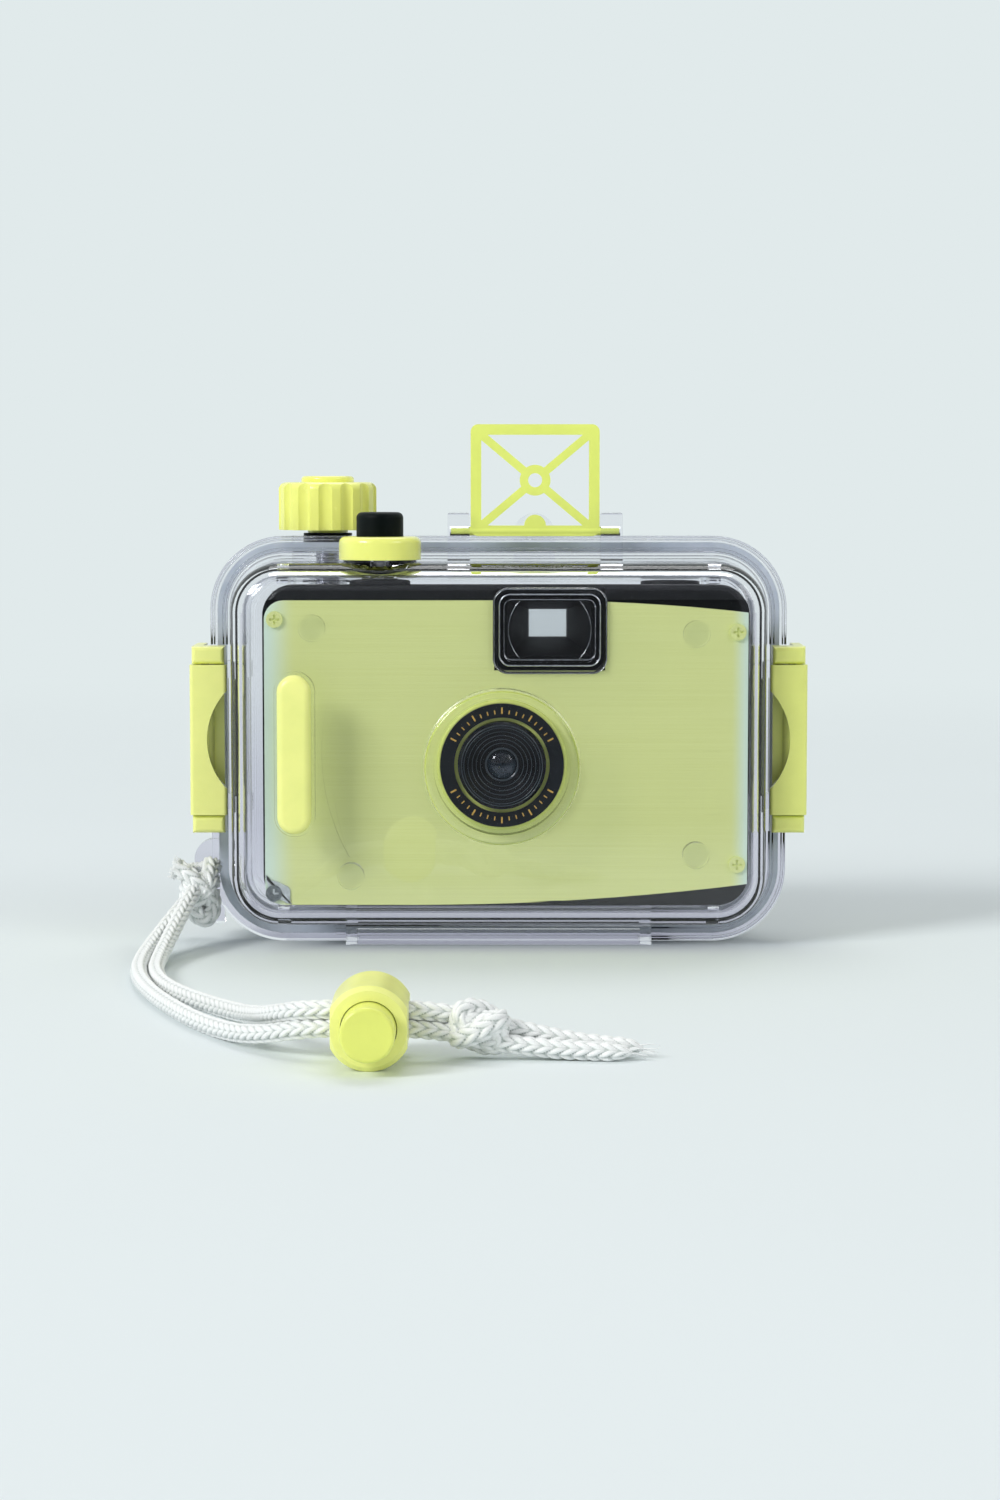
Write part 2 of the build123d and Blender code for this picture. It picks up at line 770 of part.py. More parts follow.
def finder_frame():
    """The black window frame of the viewfinder."""
    face = -cam_front - finder_frame_ahead
    sketch = outline(finder_frame_width, finder_frame_height, finder_frame_corner, finder_x, finder_z)
    frame = forward(sketch, face, -cam_front + plate_thick + finder_depth)
    frame = fillet(front_edges(frame), 0.8)
    window = outline(finder_front_width, finder_front_height, 1.6, finder_x, finder_z)
    rebate = outline(
        finder_front_width + 2 * finder_rim, finder_front_height + 2 * finder_rim, 2 * finder_rim, finder_x, finder_z
    )
    frame -= forward(window, face - 1, 0)
    return frame - forward(rebate, face - 1, face + finder_rim + finder_lens_thick)


def finder_front_lens():
    face = -cam_front - finder_frame_ahead + finder_rim
    reach = 2 * finder_rim - press_gap
    sketch = outline(finder_front_width + reach, finder_front_height + reach, reach, finder_x, finder_z)
    return forward(sketch, face, face + finder_lens_thick)


def finder_back_lens():
    return forward(
        outline(finder_back_width + 1.0, finder_back_height + 1.0, 0.8, finder_x, finder_z),
        cam_back - finder_lens_thick, cam_back,
    )


def top_cover():
    front = -cam_front + plate_thick / 2
    cover = camera_block(front, cam_back, chassis_high, cam_high)
    cover = fillet(cover.faces().sort_by(Axis.Z)[-1].edges(), 1.0)
    cover -= upright(knob_x, knob_y, chassis_high - 1, cam_high + 1, hub_radius + run_gap)
    cover -= release_well(chassis_high - 1, cam_high + 1)
    cover -= upright(rewind_x, rewind_y, chassis_high - 1, cam_high + 1, rewind_shaft_radius + run_gap)
    cover -= block(
        (finder_x - finder_frame_width / 2 - 0.1, finder_x + finder_frame_width / 2 + 0.1),
        (front - 1, -cam_front + plate_thick + 3.0),
        (chassis_high - 1, finder_z + finder_frame_height / 2 + 0.1),
    )
    return cover


def back_door():
    door = camera_block(door_y, cam_back, cam_low, chassis_high)
    door = fillet(door.faces().sort_by(Axis.Y)[-1].edges(), 1.6)
    door -= finder_tunnel(0.0)
    door -= forward(
        outline(finder_back_width + 1.1, finder_back_height + 1.1, 0.8, finder_x, finder_z),
        cam_back - finder_lens_thick, cam_back + 1,
    )
    door -= forward(
        Pos(lens_x, lens_z) * Rectangle(gate_width + 9, film_height + 1), door_y, door_y + 0.8
    )
    door -= upright(knob_x, knob_y, gear_high - side_gap, chassis_high, wheel_radius + 0.6)
    pinion_tip = pinion_radius + gear_module
    return door - upright(knob_x, knob_y, gear_low - side_gap, gear_high, pinion_tip + 0.3)


def pressure_plate():
    return forward(
        Pos(lens_x, lens_z) * RectangleRounded(gate_width + 8, film_height, 2.0), film_y + film_thick + 0.15, door_y + 0.8
    )


def film_strip():
    """The strip of film from the cassette's lips, across the gate and round to the spool."""
    back = film_y + 0.05 + film_thick
    turn = (knob_x + spool_radius + 2.3, back)
    reach = spool_radius + film_thick + 0.05
    away = (turn[0] - knob_x, turn[1] - spool_y)
    angle = math.atan2(away[1], away[0]) + math.acos(reach / math.hypot(*away))
    touch = (knob_x + reach * math.cos(angle), spool_y + reach * math.sin(angle))
    path = Polyline((rewind_x - 2.0, back), turn, touch)
    strip = make_face(offset(path, -film_thick, side=Side.LEFT, closed=True))
    return Pos(0, 0, film_z - film_height / 2) * extrude(strip, film_height)


def cassette():
    can = upright(rewind_x, rewind_y, cassette_low, cassette_low + cassette_height, cassette_radius)
    can -= upright(
        rewind_x, rewind_y, cassette_low + 0.8, cassette_low + cassette_height - 0.8, cassette_radius - cassette_wall
    )
    can -= upright(rewind_x, rewind_y, cassette_low - 1, cassette_low + cassette_height + 1, core_radius + 0.1)
    lip = block(
        (rewind_x - cassette_radius - 0.1, rewind_x - 6), (rewind_y + 8.4, film_y - 0.1),
        (cassette_low + 4, cassette_low + cassette_height - 4),
    )
    lip -= upright(rewind_x, rewind_y, cassette_low, cassette_low + cassette_height, cassette_radius - cassette_wall / 2)
    return can + lip


def cassette_core():
    core = upright(rewind_x, rewind_y, cassette_low + 0.3, cassette_low + cassette_height + core_proud, core_radius)
    core -= upright(
        rewind_x, rewind_y, cassette_low + cassette_height - 4, cassette_low + cassette_height + 5, rewind_shaft_radius + 0.6
    )
    key = block(
        (rewind_x - rewind_shaft_radius - 0.8, rewind_x + rewind_shaft_radius + 0.8), (rewind_y - 0.5, rewind_y + 0.5),
        (cassette_low + cassette_height - 4.2, cassette_low + cassette_height - 2),
    )
    return core + key


def rewind_knob():
    """The disc on the camera's top with its finger slot and the fork that turns the cassette's core."""
    low = cam_high + 0.15
    disc = upright(rewind_x, rewind_y, low, low + rewind_thick, rewind_radius)
    disc = chamfer(disc.faces().sort_by(Axis.Z)[-1].edges(), 0.4)
    disc -= block(
        (rewind_x - 4.2, rewind_x + 4.2), (rewind_y - 1.1, rewind_y + 1.1), (low + rewind_thick - 0.7, low + rewind_thick)
    )
    shaft = upright(rewind_x, rewind_y, cassette_low + cassette_height - 3.4, low + 0.2, rewind_shaft_radius)
    slot = block(
        (rewind_x - 3, rewind_x + 3), (rewind_y - 0.7, rewind_y + 0.7),
        (cassette_low + cassette_height - 4, cassette_low + cassette_height - 1.6),
    )
    return disc + (shaft - slot)


def gear(teeth, height, x, y, low, turn):
    """A spur gear with straight-sided teeth, thinned for backlash."""
    radius = gear_module * teeth / 2
    root, tip = radius - 1.25 * gear_module, radius + 0.9 * gear_module
    body = upright(x, y, low, low + height, root)
    pitch = 2 * math.pi / teeth
    for tooth in range(teeth):
        at = math.radians(turn) + tooth * pitch
        corners = []
        for reach, share in ((root - 0.15, 0.27), (tip, 0.11)):
            corners.append((reach, share * pitch))
        points = [
            (corners[0][0] * math.cos(at - corners[0][1]), corners[0][0] * math.sin(at - corners[0][1])),
            (corners[1][0] * math.cos(at - corners[1][1]), corners[1][0] * math.sin(at - corners[1][1])),
            (corners[1][0] * math.cos(at + corners[1][1]), corners[1][0] * math.sin(at + corners[1][1])),
            (corners[0][0] * math.cos(at + corners[0][1]), corners[0][0] * math.sin(at + corners[0][1])),
        ]
        body += Pos(x, y, low) * extrude(make_face(Polyline(points, close=True)), height)
    return body


def advance_wheel():
    """The camera's thumb wheel with its slotted hub above and its pinion below."""
    wheel = upright(knob_x, knob_y, wheel_high - wheel_thick, wheel_high, wheel_radius)
    for tooth in range(wheel_teeth):
        at = 2 * math.pi * tooth / wheel_teeth
        wheel -= upright(
            knob_x + wheel_radius * math.cos(at), knob_y + wheel_radius * math.sin(at),
            wheel_high - wheel_thick - 1, wheel_high + 1, 0.3,
        )
    wheel += upright(knob_x, knob_y, wheel_high - 0.5, cam_high + hub_proud, hub_radius)
    wheel -= block(
        (knob_x - hub_radius - 1, knob_x + hub_radius + 1),
        (knob_y - blade_thick / 2 - side_gap, knob_y + blade_thick / 2 + side_gap),
        (cam_high + hub_proud - slot_depth, cam_high + hub_proud + 1),
    )
    wheel += gear(pinion_teeth, gear_thick + side_gap + 0.2, knob_x, knob_y, gear_low, -90.0)
    return wheel + upright(knob_x, knob_y, gear_low - 2.3, gear_low + 0.5, 1.5)


def take_up_spool():
    spool = upright(knob_x, spool_y, spool_low, gear_low - 0.5, spool_radius)
    spool += upright(knob_x, spool_y, gear_low - 1.4, gear_low - 0.6, spool_radius + spool_flange)
    spool += upright(knob_x, spool_y, spool_low, spool_low + 0.8, spool_radius + spool_flange)
    spool -= block(
        (knob_x - spool_slot / 2, knob_x + spool_slot / 2),
        (spool_y - spool_radius - 1, spool_y + spool_radius + 1),
        (film_z - film_height / 2 + 0.5, film_z + film_height / 2 - 0.5),
    )
    spool += upright(knob_x, spool_y, gear_low - 1, gear_low + 0.5, spool_neck)
    spool += gear(spool_teeth, gear_thick, knob_x, spool_y, gear_low, 90.0 + 180.0 / spool_teeth)
    return spool


def camera_screws():
    """Four cross-head screws in the front plate's corners."""
    screws = []
    for x, z in screw_places:
        head = forward(Pos(x, z) * Circle(screw_radius), -cam_front - 0.6, -cam_front)
        cross = Rectangle(2.0, 0.45) + Rectangle(0.45, 2.0)
        screws.append(head - forward(Pos(x, z) * cross, -cam_front - 0.7, -cam_front - 0.25))
    return Compound(screws)


def release_button():
    button = release_form(chassis_high - release_sunk, cam_high + release_proud, 0)
    return fillet(button.faces().sort_by(Axis.Z)[-1].edges(), 0.6)


# The controls on the case

def advance_knob():
    """The fluted knob with a raised disc on top."""
    high = knob_low + knob_height
    knob = upright(knob_x, knob_y, knob_low, high, knob_radius)
    for flute in range(knob_flutes):
        at = 2 * math.pi * (flute + 0.5) / knob_flutes
        reach = knob_radius + knob_flute_radius - knob_flute_cut
        knob -= upright(
            knob_x + reach * math.cos(at), knob_y + reach * math.sin(at), knob_low - 1, high + 1, knob_flute_radius
        )
    body = upright(knob_x, knob_y, knob_low, high, knob_radius)
    knob &= fillet(body.faces().sort_by(Axis.Z)[-1].edges(), knob_edge)
    disc = upright(knob_x, knob_y, high - 0.5, high + knob_disc_rise, knob_disc_radius)
    knob += fillet(disc.faces().sort_by(Axis.Z)[-1].edges(), 0.7)
    knob -= upright(knob_x, knob_y, knob_low - 1, knob_low + 6, shaft_radius)
    knob += ring(knob_x, knob_y, knob_boss_high - knob_seal_seat + knob_seal_thick + 0.1, knob_low + 0.3, 4.3, shaft_radius)
    return knob


def ring(x, y, low, high, outer, inner):
    return upright(x, y, low, high, outer) - upright(x, y, low - 1, high + 1, inner)


def advance_shaft():
    """The shaft through the case wall, with the flat blade that turns the camera's wheel."""
    blade_low = cam_high + hub_proud - slot_depth + side_gap
    shaft = upright(knob_x, knob_y, cam_high + hub_proud + side_gap, knob_low + 6, shaft_radius)
    shaft += block(
        (knob_x - blade_width / 2, knob_x + blade_width / 2), (knob_y - blade_thick / 2, knob_y + blade_thick / 2),
        (blade_low, blade_low + blade_length),
    )
    groove = ring(knob_x, knob_y, clip_high - clip_thick, clip_high, shaft_radius + 1, shaft_radius - 0.6)
    return shaft - groove


def knob_seal():
    low = knob_boss_high - knob_seal_seat
    return ring(knob_x, knob_y, low, low + knob_seal_thick, knob_seal_radius - 0.05, shaft_radius + run_gap)


def shaft_clip():
    """An open spring clip in the shaft's groove, under the bush in the case's top wall."""
    low, reach = clip_high - clip_thick, shaft_radius + clip_reach
    clip = ring(knob_x, knob_y, low, clip_high, reach, shaft_radius - 0.6)
    return clip - block((knob_x - 0.9, knob_x + 0.9), (knob_y - reach - 1, knob_y), (low - 1, clip_high + 1))


def shutter_collar():
    low = wall_high + 0.05
    collar = upright(button_x, button_y, low, collar_high, collar_radius)
    collar = fillet(collar.faces().sort_by(Axis.Z)[-1].edges(), collar_round)
    collar -= upright(button_x, button_y, low - 1, collar_high - collar_lip, boss_radius)
    return collar - upright(button_x, button_y, low, collar_high + 1, button_radius + side_gap / 2)


def shutter_button():
    lip_high = collar_high - collar_lip - 0.1
    cap = upright(button_x, button_y, lip_high - button_lip_thick, button_high, button_radius)
    cap = fillet(cap.faces().sort_by(Axis.Z)[-1].edges(), button_round)
    cap += upright(button_x, button_y, lip_high - button_lip_thick, lip_high, button_radius + button_lip)
    cap -= upright(button_x, button_y, lip_high - button_lip_thick - 1, button_high - 1.8, button_radius - 1.4)
    return cap


def plunger_low():
    return cam_high + release_proud + 0.05


def shutter_plunger():
    pin = upright(button_x, button_y, plunger_low(), button_high - 1.8, plunger_radius)
    pin += upright(button_x, button_y, button_high - 2.6, button_high - 1.8, button_radius - 1.5)
    return pin


def button_seal():
    low = wall_high + boss_rise - plunger_seal_thick
    return ring(button_x, button_y, low, wall_high + boss_rise, plunger_seal_radius, plunger_radius + run_gap)


def coil_spring(low, high, radius, wire, turns):
    """A round wire wound into a helix between two heights, about the Z axis."""
    path = Helix((high - low - wire) / turns, high - low - wire, radius, center=(0, 0, low + wire / 2))
    return sweep(Plane(path @ 0, z_dir=path % 0) * Circle(wire / 2), path=path)


def button_spring():
    low, high = wall_high + boss_rise + 0.02, button_high - 2.62
    return Pos(button_x, button_y, 0) * coil_spring(low, high, spring_radius, spring_wire, spring_turns)


def sight_frame():
    """The open frame with its cross struts, centre ring, thumb tab and hinge pins."""
    low = sight_hinge_z - sight_pin_radius - 0.1
    high = low + sight_height
    middle = (low + high) / 2
    inner_width, inner_height = sight_width - 2 * sight_bar, sight_height - 2 * sight_bar
    frame = RectangleRounded(sight_width, sight_height, sight_corner)
    frame -= RectangleRounded(inner_width, inner_height, 0.6)
    slope = math.degrees(math.atan2(inner_height, inner_width))
    long = math.hypot(inner_width, inner_height) + sight_bar / 2
    for sign in (-1, 1):
        frame += Rot(0, 0, sign * slope) * Rectangle(long, sight_strut)
    frame += Circle(sight_ring_radius)
    tab = Pos(0, -inner_height / 2) * Circle(sight_tab_radius)
    frame += tab - Pos(0, -inner_height / 2 - sight_tab_radius) * Rectangle(3 * sight_tab_radius, 2 * sight_tab_radius)
    frame -= Circle(sight_ring_bore)
    half = sight_thick / 2
    solid = forward(Pos(sight_x, middle) * frame, sight_hinge_y - half, sight_hinge_y + half)
    reach = sight_width + 2 * (bracket_width - sight_pin_wall)
    pin = Pos(sight_x, sight_hinge_y, sight_hinge_z) * Rot(0, 90, 0) * Cylinder(sight_pin_radius, reach)
    return solid + pin


# The clasps, made for the +X side and mirrored for the other

def clasp_link():
    """The swinging frame: end caps in front of the rim, an outer wall, and the knuckle on the hinge pin."""
    ear_low, ear_high = clasp_low + clasp_cap + ear_height, clasp_high - clasp_cap - ear_height
    rear = hinge_y + 1.6
    link = block((link_inner, link_outer), (-link_front, rear), (clasp_low, clasp_high))
    for low in (clasp_low, clasp_high - clasp_cap):
        cap = block((cap_inner, link_outer), (-cap_front, -cap_rear), (low, low + clasp_cap))
        cap = fillet(front_edges(cap), 0.9)
        cap += block((link_inner, link_outer), (-cap_rear - 1, rear), (low, low + clasp_cap))
        link += cap
    knuckle = upright(hinge_x, hinge_y, ear_low + side_gap, ear_high - side_gap, hinge_knuckle)
    arm = block((hinge_x, link_inner + 0.5), (hinge_y - 1.5, hinge_y + 1.5), (ear_low + side_gap, ear_high - side_gap))
    link += knuckle + arm
    link = fillet(link.edges().filter_by(Axis.Z).group_by(Axis.X)[-1], 0.6)
    link -= upright(hinge_x, hinge_y, clasp_low - 1, clasp_high + 1, pin_radius + run_gap)
    return link - upright(lever_pin_x, lever_pin_y, clasp_low + 1, clasp_high - 1, pin_radius + run_gap)


def clasp_lever():
    """The cover between the caps: it has a finger scallop, turns on its pin and presses on the rim."""
    low, high = clasp_low + clasp_cap + side_gap, clasp_high - clasp_cap - side_gap
    plate = block((lever_inner, clasp_reach), (-lever_front, -lever_front + lever_thick), (low, high))
    plate += block((clasp_reach - lever_thick, clasp_reach), (-lever_front, -lever_wrap), (low, high))
    plate = fillet(plate.edges().filter_by(Axis.Z).group_by(Axis.Y)[0], 0.8)
    radius = (scallop_height**2 / 4 + scallop_depth**2) / (2 * scallop_depth)
    bite = forward(
        Pos(lever_inner + scallop_depth - radius, clasp_z) * Circle(radius), -lever_front - 1, -lever_front + lever_thick + 0.05
    )
    plate -= bite
    lever = plate + upright(lever_pin_x, lever_pin_y, low, high, lever_hub)
    lever += block((lever_pin_x - 0.9, lever_pin_x + 0.9), (-lever_front + 1, lever_pin_y), (low, high))
    lever += block((pad_inner, lever_pin_x), (-pad_front, -rim_thick - pad_gap), (low, high))
    return lever - upright(lever_pin_x, lever_pin_y, low - 1, high + 1, pin_radius + run_gap)


def hinge_pin():
    return upright(hinge_x, hinge_y, clasp_low + clasp_cap, clasp_high - clasp_cap, pin_radius)


def lever_pin():
    return upright(lever_pin_x, lever_pin_y, clasp_low + 1.05, clasp_high - 1.05, pin_radius)


def left(shape):
    return mirror(shape, about=Plane.YZ)


# The wrist strap

def corner_radii(points):
    """The largest arc that each corner's two runs allow, drawing on 0.45 of the shorter one."""
    radii = []
    for before, here, after in zip(points, points[1:], points[2:]):
        arrive, leave = Vector(*here) - Vector(*before), Vector(*after) - Vector(*here)
        turn = math.radians(arrive.get_angle(leave))
        radii.append(0.45 * min(arrive.length, leave.length) / math.tan(turn / 2))
    return radii


def cord(points, name):
    """A round cord along straight runs joined by tangent arcs."""
    radii = corner_radii(points)
    path = FilletPolyline(*points, radius=radii)
    solid = sweep(Plane(path @ 0, z_dir=path % 0) * Circle(cord_radius), path=path)
    exact = math.pi * cord_radius**2 * path.length
    print(f"{name}: length {path.length:.1f}, radii {[round(r, 1) for r in radii]}, volume share {solid.volume / exact:.4f}")
    return solid


def lug_knot():
    return Pos(*lug_knot_place) * scale(Sphere(1.0), by=(lug_knot_radius, lug_knot_radius, lug_knot_length / 2))


def strap_loops():
    """The two loops of cord that run from the knot through the lug's hole and back round its bar."""
    hole_x = -lug_reach + lug_bar + lug_hole_width / 2
    outer_x = -lug_reach - lug_hole_width / 2
    middle = (lug_low + lug_high) / 2
    front, back = lug_knot_place[1], lug_thick + cord_radius + 0.2
    loops = []
    for height in (middle - 1.7, middle + 1.7):
        corners = ((hole_x, front, height), (hole_x, back, height), (outer_x, back, height), (outer_x, front, height))
        path = FilletPolyline(*corners, radius=1.6)
        loops.append(sweep(Plane(path @ 0, z_dir=path % 0) * Circle(cord_radius), path=path))
    return Compound(loops)


def end_knot():
    place = (end_knot_x, end_knot_y, end_knot_radius + knot_clear)
    return Pos(*place) * scale(Sphere(1.0), by=(end_knot_length / 2, end_knot_radius, end_knot_radius))


def lock_barrel():
    """The toggle's barrel with flat sides, a slot for the two cords and a blind bore for the button."""
    front = lock_back - lock_length
    middle = Pos(lock_x, lock_z)
    barrel = forward(middle * Circle(lock_radius), front, lock_back)
    barrel = fillet(barrel.faces().sort_by(Axis.Y)[-1].edges(), 3.2)
    barrel = chamfer(front_edges(barrel), 0.8)
    barrel &= block((lock_x - lock_flat, lock_x + lock_flat), (front, lock_back), (0, 4 * lock_radius))
    barrel -= forward(middle * Circle(lock_button_radius + 0.15), front - 1, lock_back - lock_wall)
    return barrel - lock_slot(0, 0)


def lock_slot(grow, slide):
    """The slot across the toggle for the two cords, one above the other, made longer to the front by slide."""
    long, high = lock_slot_length + 2 * grow + slide, lock_slot_height + 2 * grow
    sketch = Pos(lock_slot_y - slide / 2, lock_z) * RectangleRounded(long, high, lock_slot_length / 2 - 0.05)
    return Pos(lock_x, 0, 0) * extrude(Plane.YZ * sketch, 2 * lock_radius, both=True)


def lock_button():
    """The toggle's sprung button, with a slot long enough for its travel."""
    front = lock_back - lock_length - lock_button_proud
    back = lock_back - lock_wall - lock_spring_room
    button = forward(Pos(lock_x, lock_z) * Circle(lock_button_radius), front, back)
    button = fillet(front_edges(button), 0.6)
    return button - lock_slot(0.1, lock_travel)


def lock_spring():
    """The spring between the toggle's button and its closed end."""
    coil = coil_spring(0.05, lock_spring_room - 0.05, 3.0, 0.5, 2.5)
    return Pos(lock_x, lock_back - lock_wall, lock_z) * Rot(90, 0, 0) * coil


def build():
    parts = {
        "front_shell": front_shell(),
        "back_shell": back_shell(),
        "case_seal": seal_ring(0.1),
        "front_grip": front_grip(),
        "camera_chassis": chassis(),
        "camera_faceplate": faceplate(),
        "camera_top_cover": top_cover(),
        "camera_back_door": back_door(),
        "camera_screws": camera_screws(),
        "lens_seat": lens_seat(),
        "lens_ring": lens_ring(),
        "lens_mount": lens_mount(),
        "lens_glass": lens_glass(),
        "lens_board": lens_board(),
        "shutter_blade": shutter_blade(),
        "finder_frame": finder_frame(),
        "finder_front_lens": finder_front_lens(),
        "finder_back_lens": finder_back_lens(),
        "pressure_plate": pressure_plate(),
        "film_strip": film_strip(),
        "film_cassette": cassette(),
        "cassette_core": cassette_core(),
        "rewind_knob": rewind_knob(),
        "advance_wheel": advance_wheel(),
        "take_up_spool": take_up_spool(),
        "advance_knob": advance_knob(),
        "advance_shaft": advance_shaft(),
        "advance_shaft_clip": shaft_clip(),
        "knob_seal": knob_seal(),
        "shutter_collar": shutter_collar(),
        "shutter_button": shutter_button(),
        "shutter_plunger": shutter_plunger(),
        "button_seal": button_seal(),
        "button_spring": button_spring(),
        "release_button": release_button(),
        "sight_frame": sight_frame(),
        "right_clasp_link": clasp_link(),
        "right_clasp_lever": clasp_lever(),
        "right_hinge_pin": hinge_pin(),
        "right_lever_pin": lever_pin(),
        "left_clasp_link": left(clasp_link()),
        "left_clasp_lever": left(clasp_lever()),
        "left_hinge_pin": left(hinge_pin()),
        "left_lever_pin": left(lever_pin()),
        "strap_cord_rear": cord(rear_route, "rear cord"),
        "strap_cord_fore": cord(fore_route, "fore cord"),
        "lug_knot": lug_knot(),
        "strap_loops": strap_loops(),
        "end_knot": end_knot(),
        "lock_barrel": lock_barrel(),
        "lock_button": lock_button(),
        "lock_spring": lock_spring(),
    }
    os.makedirs("parts", exist_ok=True)
    for name, solid in parts.items():
        export_step(Pos(0, seam_y, 0) * solid, f"parts/{name}.step")


build()
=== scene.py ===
import math
import random

import bpy
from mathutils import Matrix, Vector, noise


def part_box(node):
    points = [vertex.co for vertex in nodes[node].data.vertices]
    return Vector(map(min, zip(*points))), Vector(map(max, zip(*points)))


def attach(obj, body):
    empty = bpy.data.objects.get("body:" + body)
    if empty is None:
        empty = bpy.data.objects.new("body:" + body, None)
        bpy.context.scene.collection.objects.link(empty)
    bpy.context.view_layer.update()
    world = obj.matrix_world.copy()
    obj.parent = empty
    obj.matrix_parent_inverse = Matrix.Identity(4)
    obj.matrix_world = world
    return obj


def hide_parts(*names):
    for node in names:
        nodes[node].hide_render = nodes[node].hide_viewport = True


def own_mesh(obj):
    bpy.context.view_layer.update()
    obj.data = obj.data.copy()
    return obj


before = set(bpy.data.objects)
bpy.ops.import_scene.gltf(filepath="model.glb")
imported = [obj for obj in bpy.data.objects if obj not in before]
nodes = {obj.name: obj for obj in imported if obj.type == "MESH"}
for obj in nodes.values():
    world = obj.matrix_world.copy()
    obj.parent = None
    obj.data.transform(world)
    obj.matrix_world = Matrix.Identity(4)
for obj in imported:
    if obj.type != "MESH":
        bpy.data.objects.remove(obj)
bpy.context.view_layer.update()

MM = 0.001
SEAM_Y = 1.5          # the part's seam plane in the frame, mm
CORD_RADIUS = 1.5
LENS_X, LENS_Z = 0.7, 38.8
PLATE_Y = -17.0       # face of the camera's front plate
BARREL_Y = PLATE_Y - 4.2
FINDER_X, FINDER_Z = 10.5, 66.5


def at(x, y, z):
    """A point given in mm from the seam plane, in the frame's metres."""
    return Vector((x, y + SEAM_Y, z)) * MM


def linear(red, green, blue):
    """A colour written as 0 to 255 values, as shader values."""
    def value(part):
        part = part / 255
        return part / 12.92 if part <= 0.04045 else ((part + 0.055) / 1.055) ** 2.4
    return (value(red), value(green), value(blue), 1.0)


def placed(name, data):
    """A new object with the given data, in the scene."""
    made = bpy.data.objects.new(name, data)
    bpy.context.collection.objects.link(made)
    return made


# Camera, where the photograph's perspective puts it
FOCAL_LENGTH = 79.8
CAMERA_PLACE = (0.0003, -0.6985, 0.099)
CAMERA_DOWN = 4.8     # degrees below level

camera_data = bpy.data.cameras.new("camera")
camera_data.sensor_width = 36.0
camera_data.lens = FOCAL_LENGTH
camera_data.clip_start = 0.01
camera = placed("camera", camera_data)
camera.location = CAMERA_PLACE
camera.rotation_euler = (math.radians(90 - CAMERA_DOWN), 0, 0)
bpy.context.scene.camera = camera


